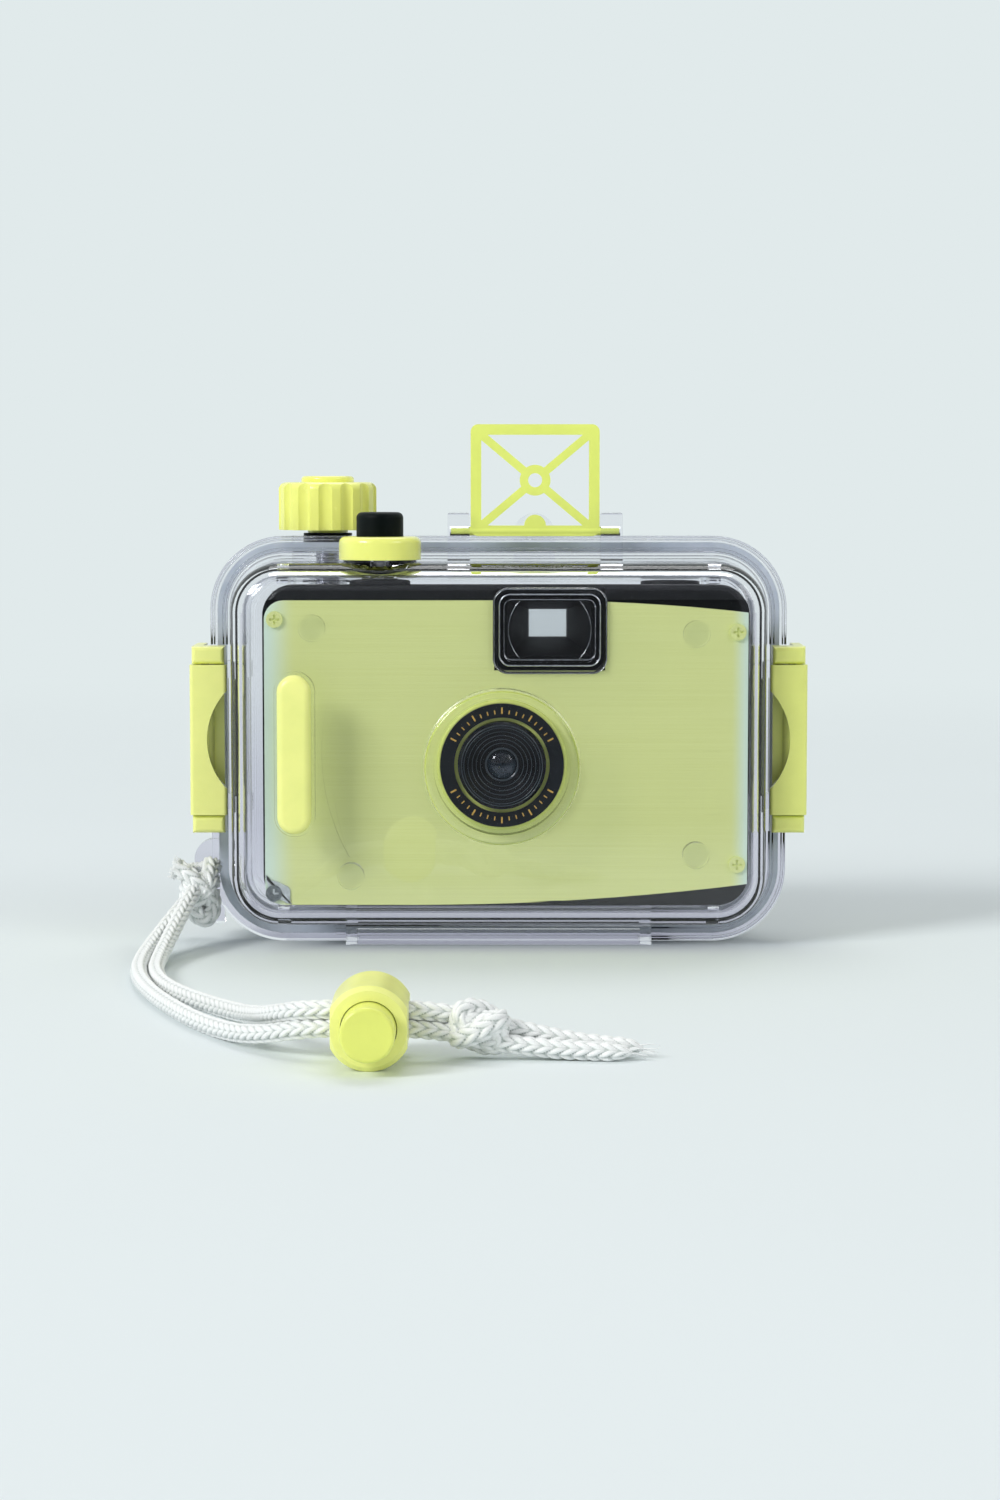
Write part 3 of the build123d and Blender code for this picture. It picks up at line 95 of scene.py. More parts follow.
# Materials
class Shader:
    """A material or world under construction: its nodes are made and linked through this."""

    def __init__(self, owner, output="OutputMaterial"):
        self.owner = owner
        owner.use_nodes = True
        self.tree = owner.node_tree
        self.tree.nodes.clear()
        self.output = self.node(output)

    def node(self, kind, **settings):
        """A new node of a kind, such as TexNoise or MixShader."""
        made = self.tree.nodes.new("ShaderNode" + kind)
        for key, value in settings.items():
            setattr(made, key, value)
        return made

    def link(self, source, target):
        self.tree.links.new(source, target)

    def place(self, scale=(1, 1, 1)):
        """Coordinates in the object's own mesh, in metres, stretched by scale."""
        coordinates = self.node("TexCoord")
        mapping = self.node("Mapping")
        mapping.inputs["Scale"].default_value = scale
        self.link(coordinates.outputs["Object"], mapping.inputs["Vector"])
        return mapping.outputs["Vector"]

    def noise(self, scale, stretch=(1, 1, 1), detail=3.0, rough=0.55):
        """Cloudy noise from 0 to 1 over the object, with about scale clouds to the metre."""
        made = self.node("TexNoise")
        made.inputs["Scale"].default_value = scale
        made.inputs["Detail"].default_value = detail
        made.inputs["Roughness"].default_value = rough
        self.link(self.place(stretch), made.inputs["Vector"])
        return made.outputs["Fac"]

    def ramp(self, factor, low, high, start=0.3, end=0.7):
        """Colours or greys from low to high as factor goes from start to end."""
        made = self.node("ValToRGB")
        made.color_ramp.elements[0].position = start
        made.color_ramp.elements[1].position = end
        made.color_ramp.elements[0].color = low
        made.color_ramp.elements[1].color = high
        self.link(factor, made.inputs["Fac"])
        return made.outputs["Color"]

    def spread(self, factor, low, high):
        """A value from low to high for a factor from 0 to 1."""
        made = self.node("MapRange")
        made.inputs["To Min"].default_value = low
        made.inputs["To Max"].default_value = high
        self.link(factor, made.inputs["Value"])
        return made.outputs["Result"]

    def between(self, value, low, high):
        """0 at low and 1 at high, smooth in between and level beyond."""
        made = self.node("MapRange", interpolation_type="SMOOTHSTEP")
        made.inputs["From Min"].default_value = low
        made.inputs["From Max"].default_value = high
        self.link(value, made.inputs["Value"])
        return made.outputs["Result"]

    def maths(self, operation, first, second):
        """Two values joined by a Math node, the second a socket or a plain number."""
        made = self.node("Math", operation=operation)
        self.link(first, made.inputs[0])
        if isinstance(second, (int, float)):
            made.inputs[1].default_value = second
        else:
            self.link(second, made.inputs[1])
        return made.outputs["Value"]

    def axis(self, name):
        """The object's own X, Y or Z, in metres."""
        split = self.node("SeparateXYZ")
        self.link(self.place(), split.inputs["Vector"])
        return split.outputs[name]

    def ray(self, kind):
        """1 where the ray is of the kind, such as Camera or Glossy, and 0 elsewhere."""
        return self.node("LightPath").outputs[f"Is {kind} Ray"]

    def blend(self, share, first, second):
        """The first shader, turning into the second as share goes from 0 to 1."""
        made = self.node("MixShader")
        self.link(share, made.inputs["Fac"])
        self.link(first, made.inputs[1])
        self.link(second, made.inputs[2])
        return made.outputs["Shader"]

    def plain(self, kind, colour, strength=1.0):
        """An Emission or Background shader of one colour."""
        made = self.node(kind)
        made.inputs["Color"].default_value = colour
        made.inputs["Strength"].default_value = strength
        return made.outputs[0]

    def bump(self, height, strength, distance):
        """Relief in the shading alone, up to a distance in mm."""
        made = self.node("Bump")
        made.inputs["Strength"].default_value = strength
        made.inputs["Distance"].default_value = distance * MM
        self.link(height, made.inputs["Height"])
        return made.outputs["Normal"]

    def surface(self, roughness=0.4, metallic=0.0, coat=0.0, specular=0.5):
        """The material's main surface node."""
        made = self.node("BsdfPrincipled")
        made.inputs["Roughness"].default_value = roughness
        made.inputs["Metallic"].default_value = metallic
        made.inputs["Coat Weight"].default_value = coat
        made.inputs["Specular IOR Level"].default_value = specular
        return made

    def lit_through(self, shader, colour):
        """Glass that lamp light and light scattered from inside go straight through."""
        through = self.node("BsdfTransparent")
        through.inputs["Color"].default_value = colour
        either = self.maths("MAXIMUM", self.ray("Shadow"), self.ray("Diffuse"))
        return self.blend(either, shader, through.outputs["BSDF"])

    def done(self, shader):
        """The finished material or world, with this shader as its surface."""
        self.link(shader, self.output.inputs["Surface"])
        return self.owner


def new_material(name):
    """A shader for a new material of that name."""
    return Shader(bpy.data.materials.new(name))


def tint(colour, share):
    """A colour made lighter, for a share above 1, or darker."""
    return tuple(min(part * share, 1.0) for part in colour[:3]) + (1.0,)


def moulded(name, colour, roughness=0.32, grain=0.25, coat=0.15, spread=0.06, glow=0.0, specular=0.5):
    """Moulded plastic: faint cloudy colour, fine grain and uneven gloss."""
    shader = new_material(name)
    body = shader.surface(roughness, coat=coat, specular=specular)
    body.inputs["Coat Roughness"].default_value = 0.12
    body.inputs["Subsurface Weight"].default_value = glow
    body.inputs["Subsurface Radius"].default_value = (0.004, 0.004, 0.002)
    body.inputs["Subsurface Scale"].default_value = 1.0
    clouds = shader.noise(90, detail=4)
    shader.link(
        shader.ramp(clouds, tint(colour, 1 - spread), tint(colour, 1 + spread)), body.inputs["Base Color"])
    smudge = shader.noise(340, detail=5)
    shader.link(shader.spread(smudge, roughness - 0.07, roughness + 0.09), body.inputs["Roughness"])
    fine = shader.noise(2600, detail=2)
    shader.link(shader.bump(fine, grain, 0.06), body.inputs["Normal"])
    return shader.done(body.outputs["BSDF"])


ACRYLIC, LENS_PLASTIC, SILICONE = 1.49, 1.52, 1.41    # refractive indexes
SEAM_WITHIN = 0.02 * MM
PLATE_LIME = (linear(228, 235, 151), linear(233, 240, 159))
# the plate's colour at its curved ends: a painted reflection, pale cyan white
PLATE_END_REFLECTION = linear(226, 246, 226)
PLATE_LEFT_END = (-41.5 * MM, -48.4 * MM)             # where the front plate curves away and its painted reflection comes in, from and to
PLATE_RIGHT_END = (47.6 * MM, 51.6 * MM)
BARREL_RINGS = 330
PAINTED_RIGHT_OF = (-40 * MM, -38 * MM)               # the screws beyond either of these are painted
PAINTED_ABOVE = (20 * MM, 22 * MM)


def clear_plastic():
    """Clear moulded plastic with a faint violet tint, which lets lamp light through to what is inside.
    The two rims' touching faces at the seam are left open, so that the pair looks like one thickness."""
    shader = new_material("clear_case")
    body = shader.surface(0.02)
    body.inputs["Base Color"].default_value = (0.965, 0.965, 0.99, 1)
    body.inputs["Transmission Weight"].default_value = 1.0
    body.inputs["IOR"].default_value = ACRYLIC
    haze = shader.noise(60, detail=4)
    shader.link(shader.spread(haze, 0.0, 0.03), body.inputs["Roughness"])
    waves = shader.noise(45, detail=1)
    shader.link(shader.bump(waves, 0.12, 0.4), body.inputs["Normal"])
    offset = shader.maths("SUBTRACT", shader.axis("Y"), SEAM_Y * MM)
    distance = shader.node("Math", operation="ABSOLUTE")
    shader.link(offset, distance.inputs[0])
    touching = shader.maths("LESS_THAN", distance.outputs["Value"], SEAM_WITHIN)
    opening = shader.node("BsdfTransparent")
    case = shader.blend(touching, body.outputs["BSDF"], opening.outputs["BSDF"])
    return shader.done(shader.lit_through(case, (0.905, 0.915, 0.935, 1)))


def brushed_plate():
    """The front plate: satin lime with fine brushed lines, and a painted pale reflection where it curves away
    at its two ends.
    """
    shader = new_material("brushed_lime")
    body = shader.surface(0.36, coat=0.1)
    body.inputs["Anisotropic"].default_value = 0.4
    lines = shader.noise(1.0, stretch=(22, 22, 7200), detail=2)
    across = shader.axis("X")
    # painted reflection: the colour turns pale towards both curved ends
    ends = shader.maths(
        "MAXIMUM", shader.between(across, *PLATE_LEFT_END), shader.between(across, *PLATE_RIGHT_END))
    colour = shader.node("Mix", data_type="RGBA")
    shader.link(ends, colour.inputs["Factor"])
    shader.link(shader.ramp(lines, *PLATE_LIME, 0.35, 0.65), colour.inputs["A"])
    colour.inputs["B"].default_value = PLATE_END_REFLECTION
    shader.link(colour.outputs["Result"], body.inputs["Base Color"])
    shader.link(shader.spread(lines, 0.3, 0.42), body.inputs["Roughness"])
    shader.link(shader.bump(lines, 0.08, 0.03), body.inputs["Normal"])
    return shader.done(body.outputs["BSDF"])


def turned_barrel():
    """Black lens barrel with fine grooves turned round the lens, and painted shade darkening the grooves."""
    shader = new_material("black_barrel_plastic")
    body = shader.surface(0.16, coat=0.5)
    coordinates = shader.node("TexCoord")
    centred = shader.node("Mapping")
    centred.inputs["Location"].default_value = (-LENS_X * MM, 0, -LENS_Z * MM)
    shader.link(coordinates.outputs["Object"], centred.inputs["Vector"])
    rings = shader.node("TexWave", wave_type="RINGS", rings_direction="Y")
    rings.inputs["Scale"].default_value = BARREL_RINGS
    shader.link(centred.outputs["Vector"], rings.inputs["Vector"])
    groove_and_shade = rings.outputs["Fac"]
    # painted shade: the grooves are coloured darker than the ridges between them
    shader.link(shader.ramp(groove_and_shade, linear(7, 11, 13), linear(24, 30, 33)), body.inputs["Base Color"])
    shader.link(shader.spread(groove_and_shade, 0.22, 0.12), body.inputs["Roughness"])
    shader.link(shader.bump(groove_and_shade, 0.5, 0.06), body.inputs["Normal"])
    return shader.done(body.outputs["BSDF"])


def screw_metal():
    """Bright steel on the screw that shows, and the plate's lime on the three that don't stand out."""
    shader = new_material("screw_steel")
    steel = shader.surface(0.28, metallic=1.0)
    turned = shader.noise(1500, detail=3)
    shader.link(shader.ramp(turned, linear(96, 106, 108), linear(150, 158, 160)), steel.inputs["Base Color"])
    painted = shader.surface(0.36)
    shader.link(shader.ramp(turned, *PLATE_LIME), painted.inputs["Base Color"])
    right = shader.between(shader.axis("X"), *PAINTED_RIGHT_OF)
    high = shader.between(shader.axis("Z"), *PAINTED_ABOVE)
    paint = shader.maths("MAXIMUM", right, high)
    return shader.done(shader.blend(paint, steel.outputs["BSDF"], painted.outputs["BSDF"]))


def lens_clear(name, colour):
    """Lens plastic of the given tint, with a little dust; a dark tint is painted shade for the dark room
    behind the lens.
    """
    shader = new_material(name)
    body = shader.surface(0.0)
    body.inputs["Base Color"].default_value = colour
    body.inputs["Transmission Weight"].default_value = 1.0
    body.inputs["IOR"].default_value = LENS_PLASTIC
    body.inputs["Coat Weight"].default_value = 0.3
    dust = shader.noise(700, detail=3)
    shader.link(shader.spread(dust, 0.0, 0.03), body.inputs["Roughness"])
    return shader.done(shader.lit_through(body.outputs["BSDF"], colour))


def rubber(name, colour):
    """Matt rubber, worn and grained."""
    shader = new_material(name)
    body = shader.surface(0.5, specular=0.14)
    wear = shader.noise(420, detail=5)
    shader.link(shader.ramp(wear, tint(colour, 0.75), tint(colour, 1.3)), body.inputs["Base Color"])
    shader.link(shader.spread(wear, 0.4, 0.62), body.inputs["Roughness"])
    grain = shader.noise(3200, detail=3)
    shader.link(shader.bump(grain, 0.35, 0.08), body.inputs["Normal"])
    return shader.done(body.outputs["BSDF"])


def silicone(name):
    """Milky silicone rubber that some light passes through."""
    shader = new_material(name)
    body = shader.surface(0.35, specular=0.4)
    body.inputs["Transmission Weight"].default_value = 0.6
    body.inputs["IOR"].default_value = SILICONE
    cloud = shader.noise(240, detail=3)
    shader.link(shader.ramp(cloud, linear(238, 243, 247), linear(248, 251, 254)), body.inputs["Base Color"])
    shader.link(shader.spread(cloud, 0.25, 0.45), body.inputs["Roughness"])
    return shader.done(shader.lit_through(body.outputs["BSDF"], (0.85, 0.86, 0.88, 1)))


def metal(name, colour, roughness=0.25):
    """Turned or drawn metal with fine uneven gloss."""
    shader = new_material(name)
    body = shader.surface(roughness, metallic=1.0)
    turned = shader.noise(900, detail=3)
    shader.link(shader.ramp(turned, tint(colour, 0.85), tint(colour, 1.1)), body.inputs["Base Color"])
    shader.link(shader.spread(turned, roughness - 0.08, roughness + 0.1), body.inputs["Roughness"])
    shader.link(shader.bump(turned, 0.15, 0.04), body.inputs["Normal"])
    return shader.done(body.outputs["BSDF"])


def film_stock():
    """Brown film with fine streaks."""
    shader = new_material("film_stock")
    body = shader.surface(0.28, coat=0.3)
    streaks = shader.noise(1.0, stretch=(400, 400, 3000), detail=3)
    shader.link(shader.ramp(streaks, linear(92, 64, 44), linear(124, 92, 66)), body.inputs["Base Color"])
    shader.link(shader.bump(streaks, 0.1, 0.03), body.inputs["Normal"])
    return shader.done(body.outputs["BSDF"])


def cord_yarn():
    """Glossy white yarn: painted shade between the braid's stitches, with fine fibres over them."""
    shader = new_material("cord_yarn")
    body = shader.surface(0.36)
    body.inputs["Sheen Weight"].default_value = 0.2
    body.inputs["Sheen Roughness"].default_value = 0.4
    stitch = shader.node("Attribute", attribute_name="stitch")
    # painted shade: the yarn is coloured grey-green in the grooves between stitches
    groove_and_shade = shader.ramp(stitch.outputs["Fac"], linear(168, 180, 174), linear(251, 253, 252), 0.1, 0.62)
    fibres = shader.noise(5200, detail=2)
    grey = shader.ramp(fibres, (0.9, 0.9, 0.9, 1), (1, 1, 1, 1))
    both = shader.node("Mix", data_type="RGBA", blend_type="MULTIPLY")
    both.inputs["Factor"].default_value = 1.0
    shader.link(groove_and_shade, both.inputs["A"])
    shader.link(grey, both.inputs["B"])
    shader.link(both.outputs["Result"], body.inputs["Base Color"])
    shader.link(shader.spread(fibres, 0.28, 0.46), body.inputs["Roughness"])
    shader.link(shader.bump(fibres, 0.3, 0.06), body.inputs["Normal"])
    return shader.done(body.outputs["BSDF"])


def gilt_ink():
    """Worn gold ink."""
    shader = new_material("gilt_ink")
    body = shader.surface(0.4, metallic=0.3)
    wear = shader.noise(3000, detail=3)
    shader.link(shader.ramp(wear, linear(206, 160, 66), linear(240, 200, 104)), body.inputs["Base Color"])
    return shader.done(body.outputs["BSDF"])


CLEAR = clear_plastic()
LIME = moulded("lime_gloss_plastic", linear(247, 252, 150), glow=0.1)
# CLASP is the clasps' own lime; the left clasp takes the paler LIME instead, as painted light for its lit
# side
CLASP = moulded("lime_clasp_plastic", linear(240, 246, 138), glow=0.1)
KNOB = moulded("lime_knob_plastic", linear(246, 250, 132), roughness=0.24, grain=0.12, coat=0.4, glow=0.1)
SIGHT = moulded("lime_sight_plastic", linear(236, 248, 122), glow=0.1)
LOCK = moulded("lime_lock_plastic", linear(247, 251, 150), glow=0.1)
LOCK_BUTTON = moulded("lime_lock_button_plastic", linear(236, 243, 120), glow=0.1)
SEAT = moulded("lime_seat_plastic", linear(222, 232, 126), roughness=0.25)
PLATE = brushed_plate()
BLACK = moulded(
    "black_camera_plastic", linear(17, 20, 22),
    roughness=0.46, grain=0.06, coat=0.0, spread=0.2, specular=0.3)
BLACK_RING = moulded(
    "black_ring_plastic", linear(19, 25, 29),
    roughness=0.42, grain=0.06, coat=0.0, spread=0.2, specular=0.3)
BARREL = turned_barrel()
RUBBER = rubber("black_rubber_cap", linear(3, 12, 12))
BLACK_FLAT = moulded(
    "black_flat_plastic", linear(9, 12, 14),
    roughness=0.6, grain=0.1, coat=0.0, spread=0.2, specular=0.08)
# painted highlight: the bead edges of the black barrel are grey, to show as light ring lines
BEAD_HIGHLIGHT = moulded("grey_bead_painted_highlight", linear(52, 60, 64), roughness=0.18, grain=0.02, coat=0.6)
SEAL = silicone("seal_silicone")
STEEL = metal("steel", linear(186, 188, 190))
BARE = metal("bare_metal", linear(222, 230, 228), roughness=0.34)
CHROME = metal("bright_trim", linear(226, 232, 234), roughness=0.16)
SCREW = screw_metal()
LENS = lens_clear("lens_clear", (0.95, 0.97, 0.97, 1))
# the dark tint is painted shade, for the unlit inside behind the taking lens
LENS_DARK = lens_clear("lens_dark", (0.28, 0.34, 0.37, 1))
FILM = film_stock()
YARN = cord_yarn()
GILT = gilt_ink()

NODE_MATERIALS = {
    CLEAR: ["front_shell", "back_shell"],
    # the left clasp on LIME is painted light: a lighter copy of the right clasp's lime, for the side the key
    # lamp lights
    LIME: ["front_grip", "left_clasp_link", "left_clasp_lever"],
    CLASP: ["right_clasp_link", "right_clasp_lever"],
    KNOB: ["advance_knob", "shutter_collar"],
    SIGHT: ["sight_frame"],
    LOCK: ["lock_barrel"],
    LOCK_BUTTON: ["lock_button"],
    PLATE: ["camera_faceplate"],
    BLACK: [
        "camera_top_cover", "camera_back_door", "lens_board",
        "advance_wheel", "take_up_spool", "rewind_knob", "release_button", "pressure_plate", "cassette_core",
    ],
    SEAT: ["lens_seat"],
    BLACK_FLAT: ["camera_chassis", "finder_frame"],
    BLACK_RING: ["lens_ring"],
    BARREL: ["lens_mount"],
    RUBBER: ["shutter_button", "button_seal", "knob_seal"],
    SEAL: ["case_seal"],
    STEEL: [
        "advance_shaft", "advance_shaft_clip", "shutter_plunger", "button_spring", "lock_spring",
        "right_hinge_pin", "right_lever_pin", "left_hinge_pin", "left_lever_pin",
        "shutter_blade", "film_cassette",
    ],
    SCREW: ["camera_screws"],
    LENS: ["finder_front_lens", "finder_back_lens"],
    LENS_DARK: ["lens_glass"],
    FILM: ["film_strip"],
    YARN: ["strap_cord_rear", "strap_cord_fore", "lug_knot", "strap_loops", "end_knot"],
}
for material, names in NODE_MATERIALS.items():
    for name in names:
        mesh = nodes[name].data
        mesh.materials.clear()
        mesh.materials.append(material)


# Cord routes, with the part's own points in mm from the seam plane
REAR_ROUTE = [
    (-63.2, -9.5, 12.4), (-65.4, -20.0, 8.0), (-67.2, -32.2, 3.6), (-67.8, -45.4, 1.6),
    (-66.8, -59.0, 1.6), (-64.0, -72.6, 1.6), (-59.2, -85.4, 1.6), (-52.6, -97.4, 1.6),
    (-46.4, -109.4, 2.1), (-42.0, -122.6, 3.8), (-38.8, -136.0, 6.2), (-32.4, -146.0, 8.75),
    (-12.6, -146.0, 8.75), (-3.2, -143.6, 6.6), (6.4, -142.6, 3.9), (16.0, -143.0, 2.2), (24.6, -144.2, 1.7),
]
FORE_ROUTE = [
    (-65.2, -8.6, 9.4), (-68.2, -19.0, 5.8), (-70.8, -32.0, 2.6), (-71.2, -46.0, 1.6),
    (-70.0, -60.0, 1.6), (-67.4, -74.0, 1.6), (-63.6, -88.0, 1.6), (-59.0, -101.6, 1.6),
    (-53.6, -115.2, 1.6), (-47.2, -127.8, 1.8), (-40.6, -138.4, 3.0), (-31.4, -146.0, 5.65),
    (-12.8, -146.0, 5.65), (-3.4, -145.6, 3.6), (6.0, -146.0, 2.2), (15.4, -146.4, 1.6), (22.6, -147.6, 1.6),
]


LINE_STEP = 0.2 * MM


def smooth_line(points, name):
    """Points read along a smooth curve with the given control points, an even step apart."""
    curve = bpy.data.curves.new(name + "_line", "CURVE")
    curve.dimensions = "3D"
    curve.resolution_u = 24
    spline = curve.splines.new("NURBS")
    spline.points.add(len(points) - 1)
    for target, point in zip(spline.points, points):
        target.co = (*at(*point), 1.0)
    spline.order_u = 3
    spline.use_endpoint_u = True
    guide = placed(name + "_line", curve)
    bpy.context.view_layer.update()
    mesh = bpy.data.meshes.new_from_object(guide.evaluated_get(bpy.context.evaluated_depsgraph_get()))
    dense = [vertex.co.copy() for vertex in mesh.vertices]
    bpy.data.objects.remove(guide)
    bpy.data.meshes.remove(mesh)
    return even_steps(dense, LINE_STEP)


def even_steps(points, step):
    """The same line with its points an even step apart."""
    travelled = [0.0]
    for first, second in zip(points, points[1:]):
        travelled.append(travelled[-1] + (second - first).length)
    count = max(2, round(travelled[-1] / step))
    line = []
    index = 0
    for number in range(count + 1):
        wanted = travelled[-1] * number / count
        while index < len(points) - 2 and travelled[index + 1] < wanted:
            index += 1
        span = travelled[index + 1] - travelled[index]
        share = (wanted - travelled[index]) / span if span else 0.0
        line.append(points[index].lerp(points[index + 1], share))
    return line


def line_length(line):
    """The length of a line of points, in their own unit."""
    return sum((second - first).length for first, second in zip(line, line[1:]))


def frames_along(line):
    """Two side axes at each point, turned as little as possible from point to point."""
    directions = []
    for index in range(len(line)):
        before = line[max(index - 1, 0)]
        after = line[min(index + 1, len(line) - 1)]
        directions.append((after - before).normalized())
    side = directions[0].orthogonal().normalized()
    frames = []
    for direction in directions:
        side = (side - direction * side.dot(direction)).normalized()
        frames.append((side, direction.cross(side)))
    return frames


def round_about(centre, axes, angle, reach):
    """The point at an angle and a distance from a centre, in the plane of two axes."""
    side, other = axes
    return centre + (side * math.cos(angle) + other * math.sin(angle)) * reach


def arc_angles(start, sweep, steps):
    """Angles in radians from a start on through a sweep, both in degrees, in even steps."""
    return [math.radians(start + sweep * number / steps) for number in range(steps + 1)]


def above(point, floor):
    """The point, lifted to the floor where one is given and it is lower."""
    if floor is not None and point.z < floor:
        point.z = floor
    return point


# The braid: how far one stitch reaches along the cord, columns of stitches round it, and their relief, in mm
BRAID_PITCH, BRAID_COLUMNS, BRAID_SIDES = 2.2, 6, 36
BRAID_DEPTH, BRAID_RELIEF, BRAID_UNEVEN = 0.5, 0.7, 0.07
UNEVEN_ALONG, UNEVEN_ROUND, SEED_APART = 0.5, 6, 7.3     # steps through the noise
FLARE_REACH = 1.6
TIP_LEFT = 0.04                                          # share of its width that a tapered tip keeps


def stitch_height(along, around):
    """The braid's height at a place on the cord, 0 in the grooves and 1 on a stitch."""
    column = around * BRAID_COLUMNS
    number = math.floor(column)
    across = column - number
    slant = 1.0 if number % 2 else -1.0
    place = along / BRAID_PITCH + slant * (across - 0.5)
    share = place - math.floor(place)
    crown = max(0.0, 1 - (2 * share - 1) ** 2) ** 0.6     # broad on the stitch and steep at its ends
    edge = 1 - 0.5 * abs(2 * across - 1) ** 3             # half as high beside the next column
    return crown * edge


def skin(rings, sides, base=0):
    """The faces of a tube of the given rings, closed at both ends."""
    faces = []
    for ring in range(rings - 1):
        for corner in range(sides):
            beside = (corner + 1) % sides
            quad = (ring * sides + corner, ring * sides + beside,
                    (ring + 1) * sides + beside, (ring + 1) * sides + corner)
            faces.append(tuple(base + index for index in quad))
    faces.append(tuple(base + index for index in reversed(range(sides))))
    faces.append(tuple(base + index for index in range((rings - 1) * sides, rings * sides)))
    return faces


def pointed(distance, reach):
    """How much of its width a cord keeps at a distance from an end that tapers over reach."""
    return min(1.0, math.sin(math.pi / 2 * min(distance / reach, 1.0) ** 0.7) + TIP_LEFT)


def braided(line, radius=CORD_RADIUS, taper_start=0.0, taper_end=0.0, flare=0.0, seed=1, floor=None):
    """A braided cord along a line as (points, faces, heights), with its stitches as real relief."""
    vertices = []
    heights = []
    step = line_length(line) / MM / (len(line) - 1)
    total = step * (len(line) - 1)
    for index, (centre, axes) in enumerate(zip(line, frames_along(line))):
        along = index * step
        swell = 1.0 + flare * max(0.0, 1 - along / FLARE_REACH) ** 2
        if taper_start:
            swell *= pointed(along, taper_start)
        if taper_end:
            swell *= pointed(total - along, taper_end)
        for corner in range(BRAID_SIDES):
            around = corner / BRAID_SIDES
            height = stitch_height(along, around)
            place = (along * UNEVEN_ALONG + seed * SEED_APART, around * UNEVEN_ROUND, seed)
            uneven = noise.noise(Vector(place))
            reach = (radius - BRAID_DEPTH + BRAID_RELIEF * height + BRAID_UNEVEN * uneven) * swell * MM
            vertices.append(above(round_about(centre, axes, 2 * math.pi * around, reach), floor))
            heights.append(height)
    return vertices, skin(len(line), BRAID_SIDES), heights


FIBRE_ROOT, FIBRE_TIP = 0.16, 0.04     # a loose fibre's radius
FIBRE_LENGTH, FIBRE_LEAN, FIBRE_CURL = (0.5, 1.0), (0.05, 0.5), 0.25    # as shares of the length asked for
FIBRE_SHADE = 0.8                      # its value for the yarn's painted groove shade, as on a stitch


def frayed(end, direction, radius, length, count, seed, floor=None):
    """Loose fibres that stand out of a cord's cut end, each a thin tube that narrows to its tip."""
    draw = random.Random(seed)
    direction = direction.normalized()
    side = direction.orthogonal().normalized()
    other = direction.cross(side)
    vertices = []
    faces = []
    rings, sides = 6, 5
    for _ in range(count):
        turn = draw.uniform(0, 2 * math.pi)
        out = (side * math.cos(turn) + other * math.sin(turn)) * radius * math.sqrt(draw.random()) * MM
        lean = direction + out.normalized() * draw.uniform(*FIBRE_LEAN)
        reach = length * draw.uniform(*FIBRE_LENGTH) * MM
        curl = (side * draw.uniform(-1, 1) + other * draw.uniform(-1, 1)) * FIBRE_CURL * reach
        base = len(vertices)
        for ring in range(rings):
            share = ring / (rings - 1)
            centre = end + out + lean * reach * share + curl * share ** 2
            thick = (FIBRE_ROOT + (FIBRE_TIP - FIBRE_ROOT) * share) * MM
            for corner in range(sides):
                vertices.append(
                    above(round_about(centre, (side, other), 2 * math.pi * corner / sides, thick), floor))
        faces += skin(rings, sides, base)
    return vertices, faces, [FIBRE_SHADE] * len(vertices)


def mesh_piece(name, parts, material, smooth=True):
    """One object from parts given as (points, faces, heights), the heights kept for the yarn's painted shade
    between stitches.
    """
    vertices = []
    faces = []
    heights = []
    for points, part_faces, part_heights in parts:
        base = len(vertices)
        vertices += points
        faces += [tuple(base + index for index in face) for face in part_faces]
        heights += part_heights
    mesh = bpy.data.meshes.new(name)
    mesh.from_pydata(vertices, [], faces)
    mesh.polygons.foreach_set("use_smooth", [smooth] * len(faces))
    mesh.attributes.new("stitch", "FLOAT", "POINT").data.foreach_set("value", heights)
    mesh.materials.append(material)
    return placed(name, mesh)


# The strap's two cords, each with a few fibres at its melted tip
FLOOR = 0.1 * MM      # no part of the strap is lower
rear_line = smooth_line(REAR_ROUTE, "rear")
fore_line = smooth_line(FORE_ROUTE, "fore")


def tail_fray(line, seed):
    """The few fibres that stand out of a cord's tip."""
    return frayed(
        line[-8], line[-1] - line[-10], radius=0.3, length=4.2, count=7, seed=seed, floor=FLOOR)


cord_rear = mesh_piece("cord_rear", [
    braided(rear_line, taper_end=4.5, seed=1, floor=FLOOR), tail_fray(rear_line, 41),
], YARN)
cord_fore = mesh_piece("cord_fore", [
    braided(fore_line, taper_end=5.5, seed=2, floor=FLOOR), tail_fray(fore_line, 42),
], YARN)

# Both cords tied in one overhand knot beyond the toggle: a rounded knot of one strand over a core
KNOT_START = Vector((-8.6, -145.3, 5.9))
KNOT_END = Vector((2.0, -144.4, 5.0))
KNOT_RING, KNOT_SWAY, KNOT_LONG = 2.0, 1.15, 3.5
KNOT_RADIUS, KNOT_CORE_RADIUS, KNOT_TAPER = 1.75, 2.9, 2.0


def knot_strand():
    """Points of a trefoil about the cords' direction, which starts and ends at an inner crossing."""
    middle = KNOT_START.lerp(KNOT_END, 0.5)
    along = (KNOT_END - KNOT_START).normalized()
    side = along.cross(Vector((0, 0, 1))).normalized()
    up = side.cross(along)
    points = []
    first = math.pi / 3     # an inner crossing
    count = 60
    for number in range(count + 1):
        angle = first + 2 * math.pi * number / count
        reach = KNOT_RING + KNOT_SWAY * math.cos(3 * angle)
        turned = side * math.cos(2 * angle) + up * math.sin(2 * angle)
        points.append(tuple(middle + turned * reach + along * (KNOT_LONG * math.sin(3 * angle))))
    return points


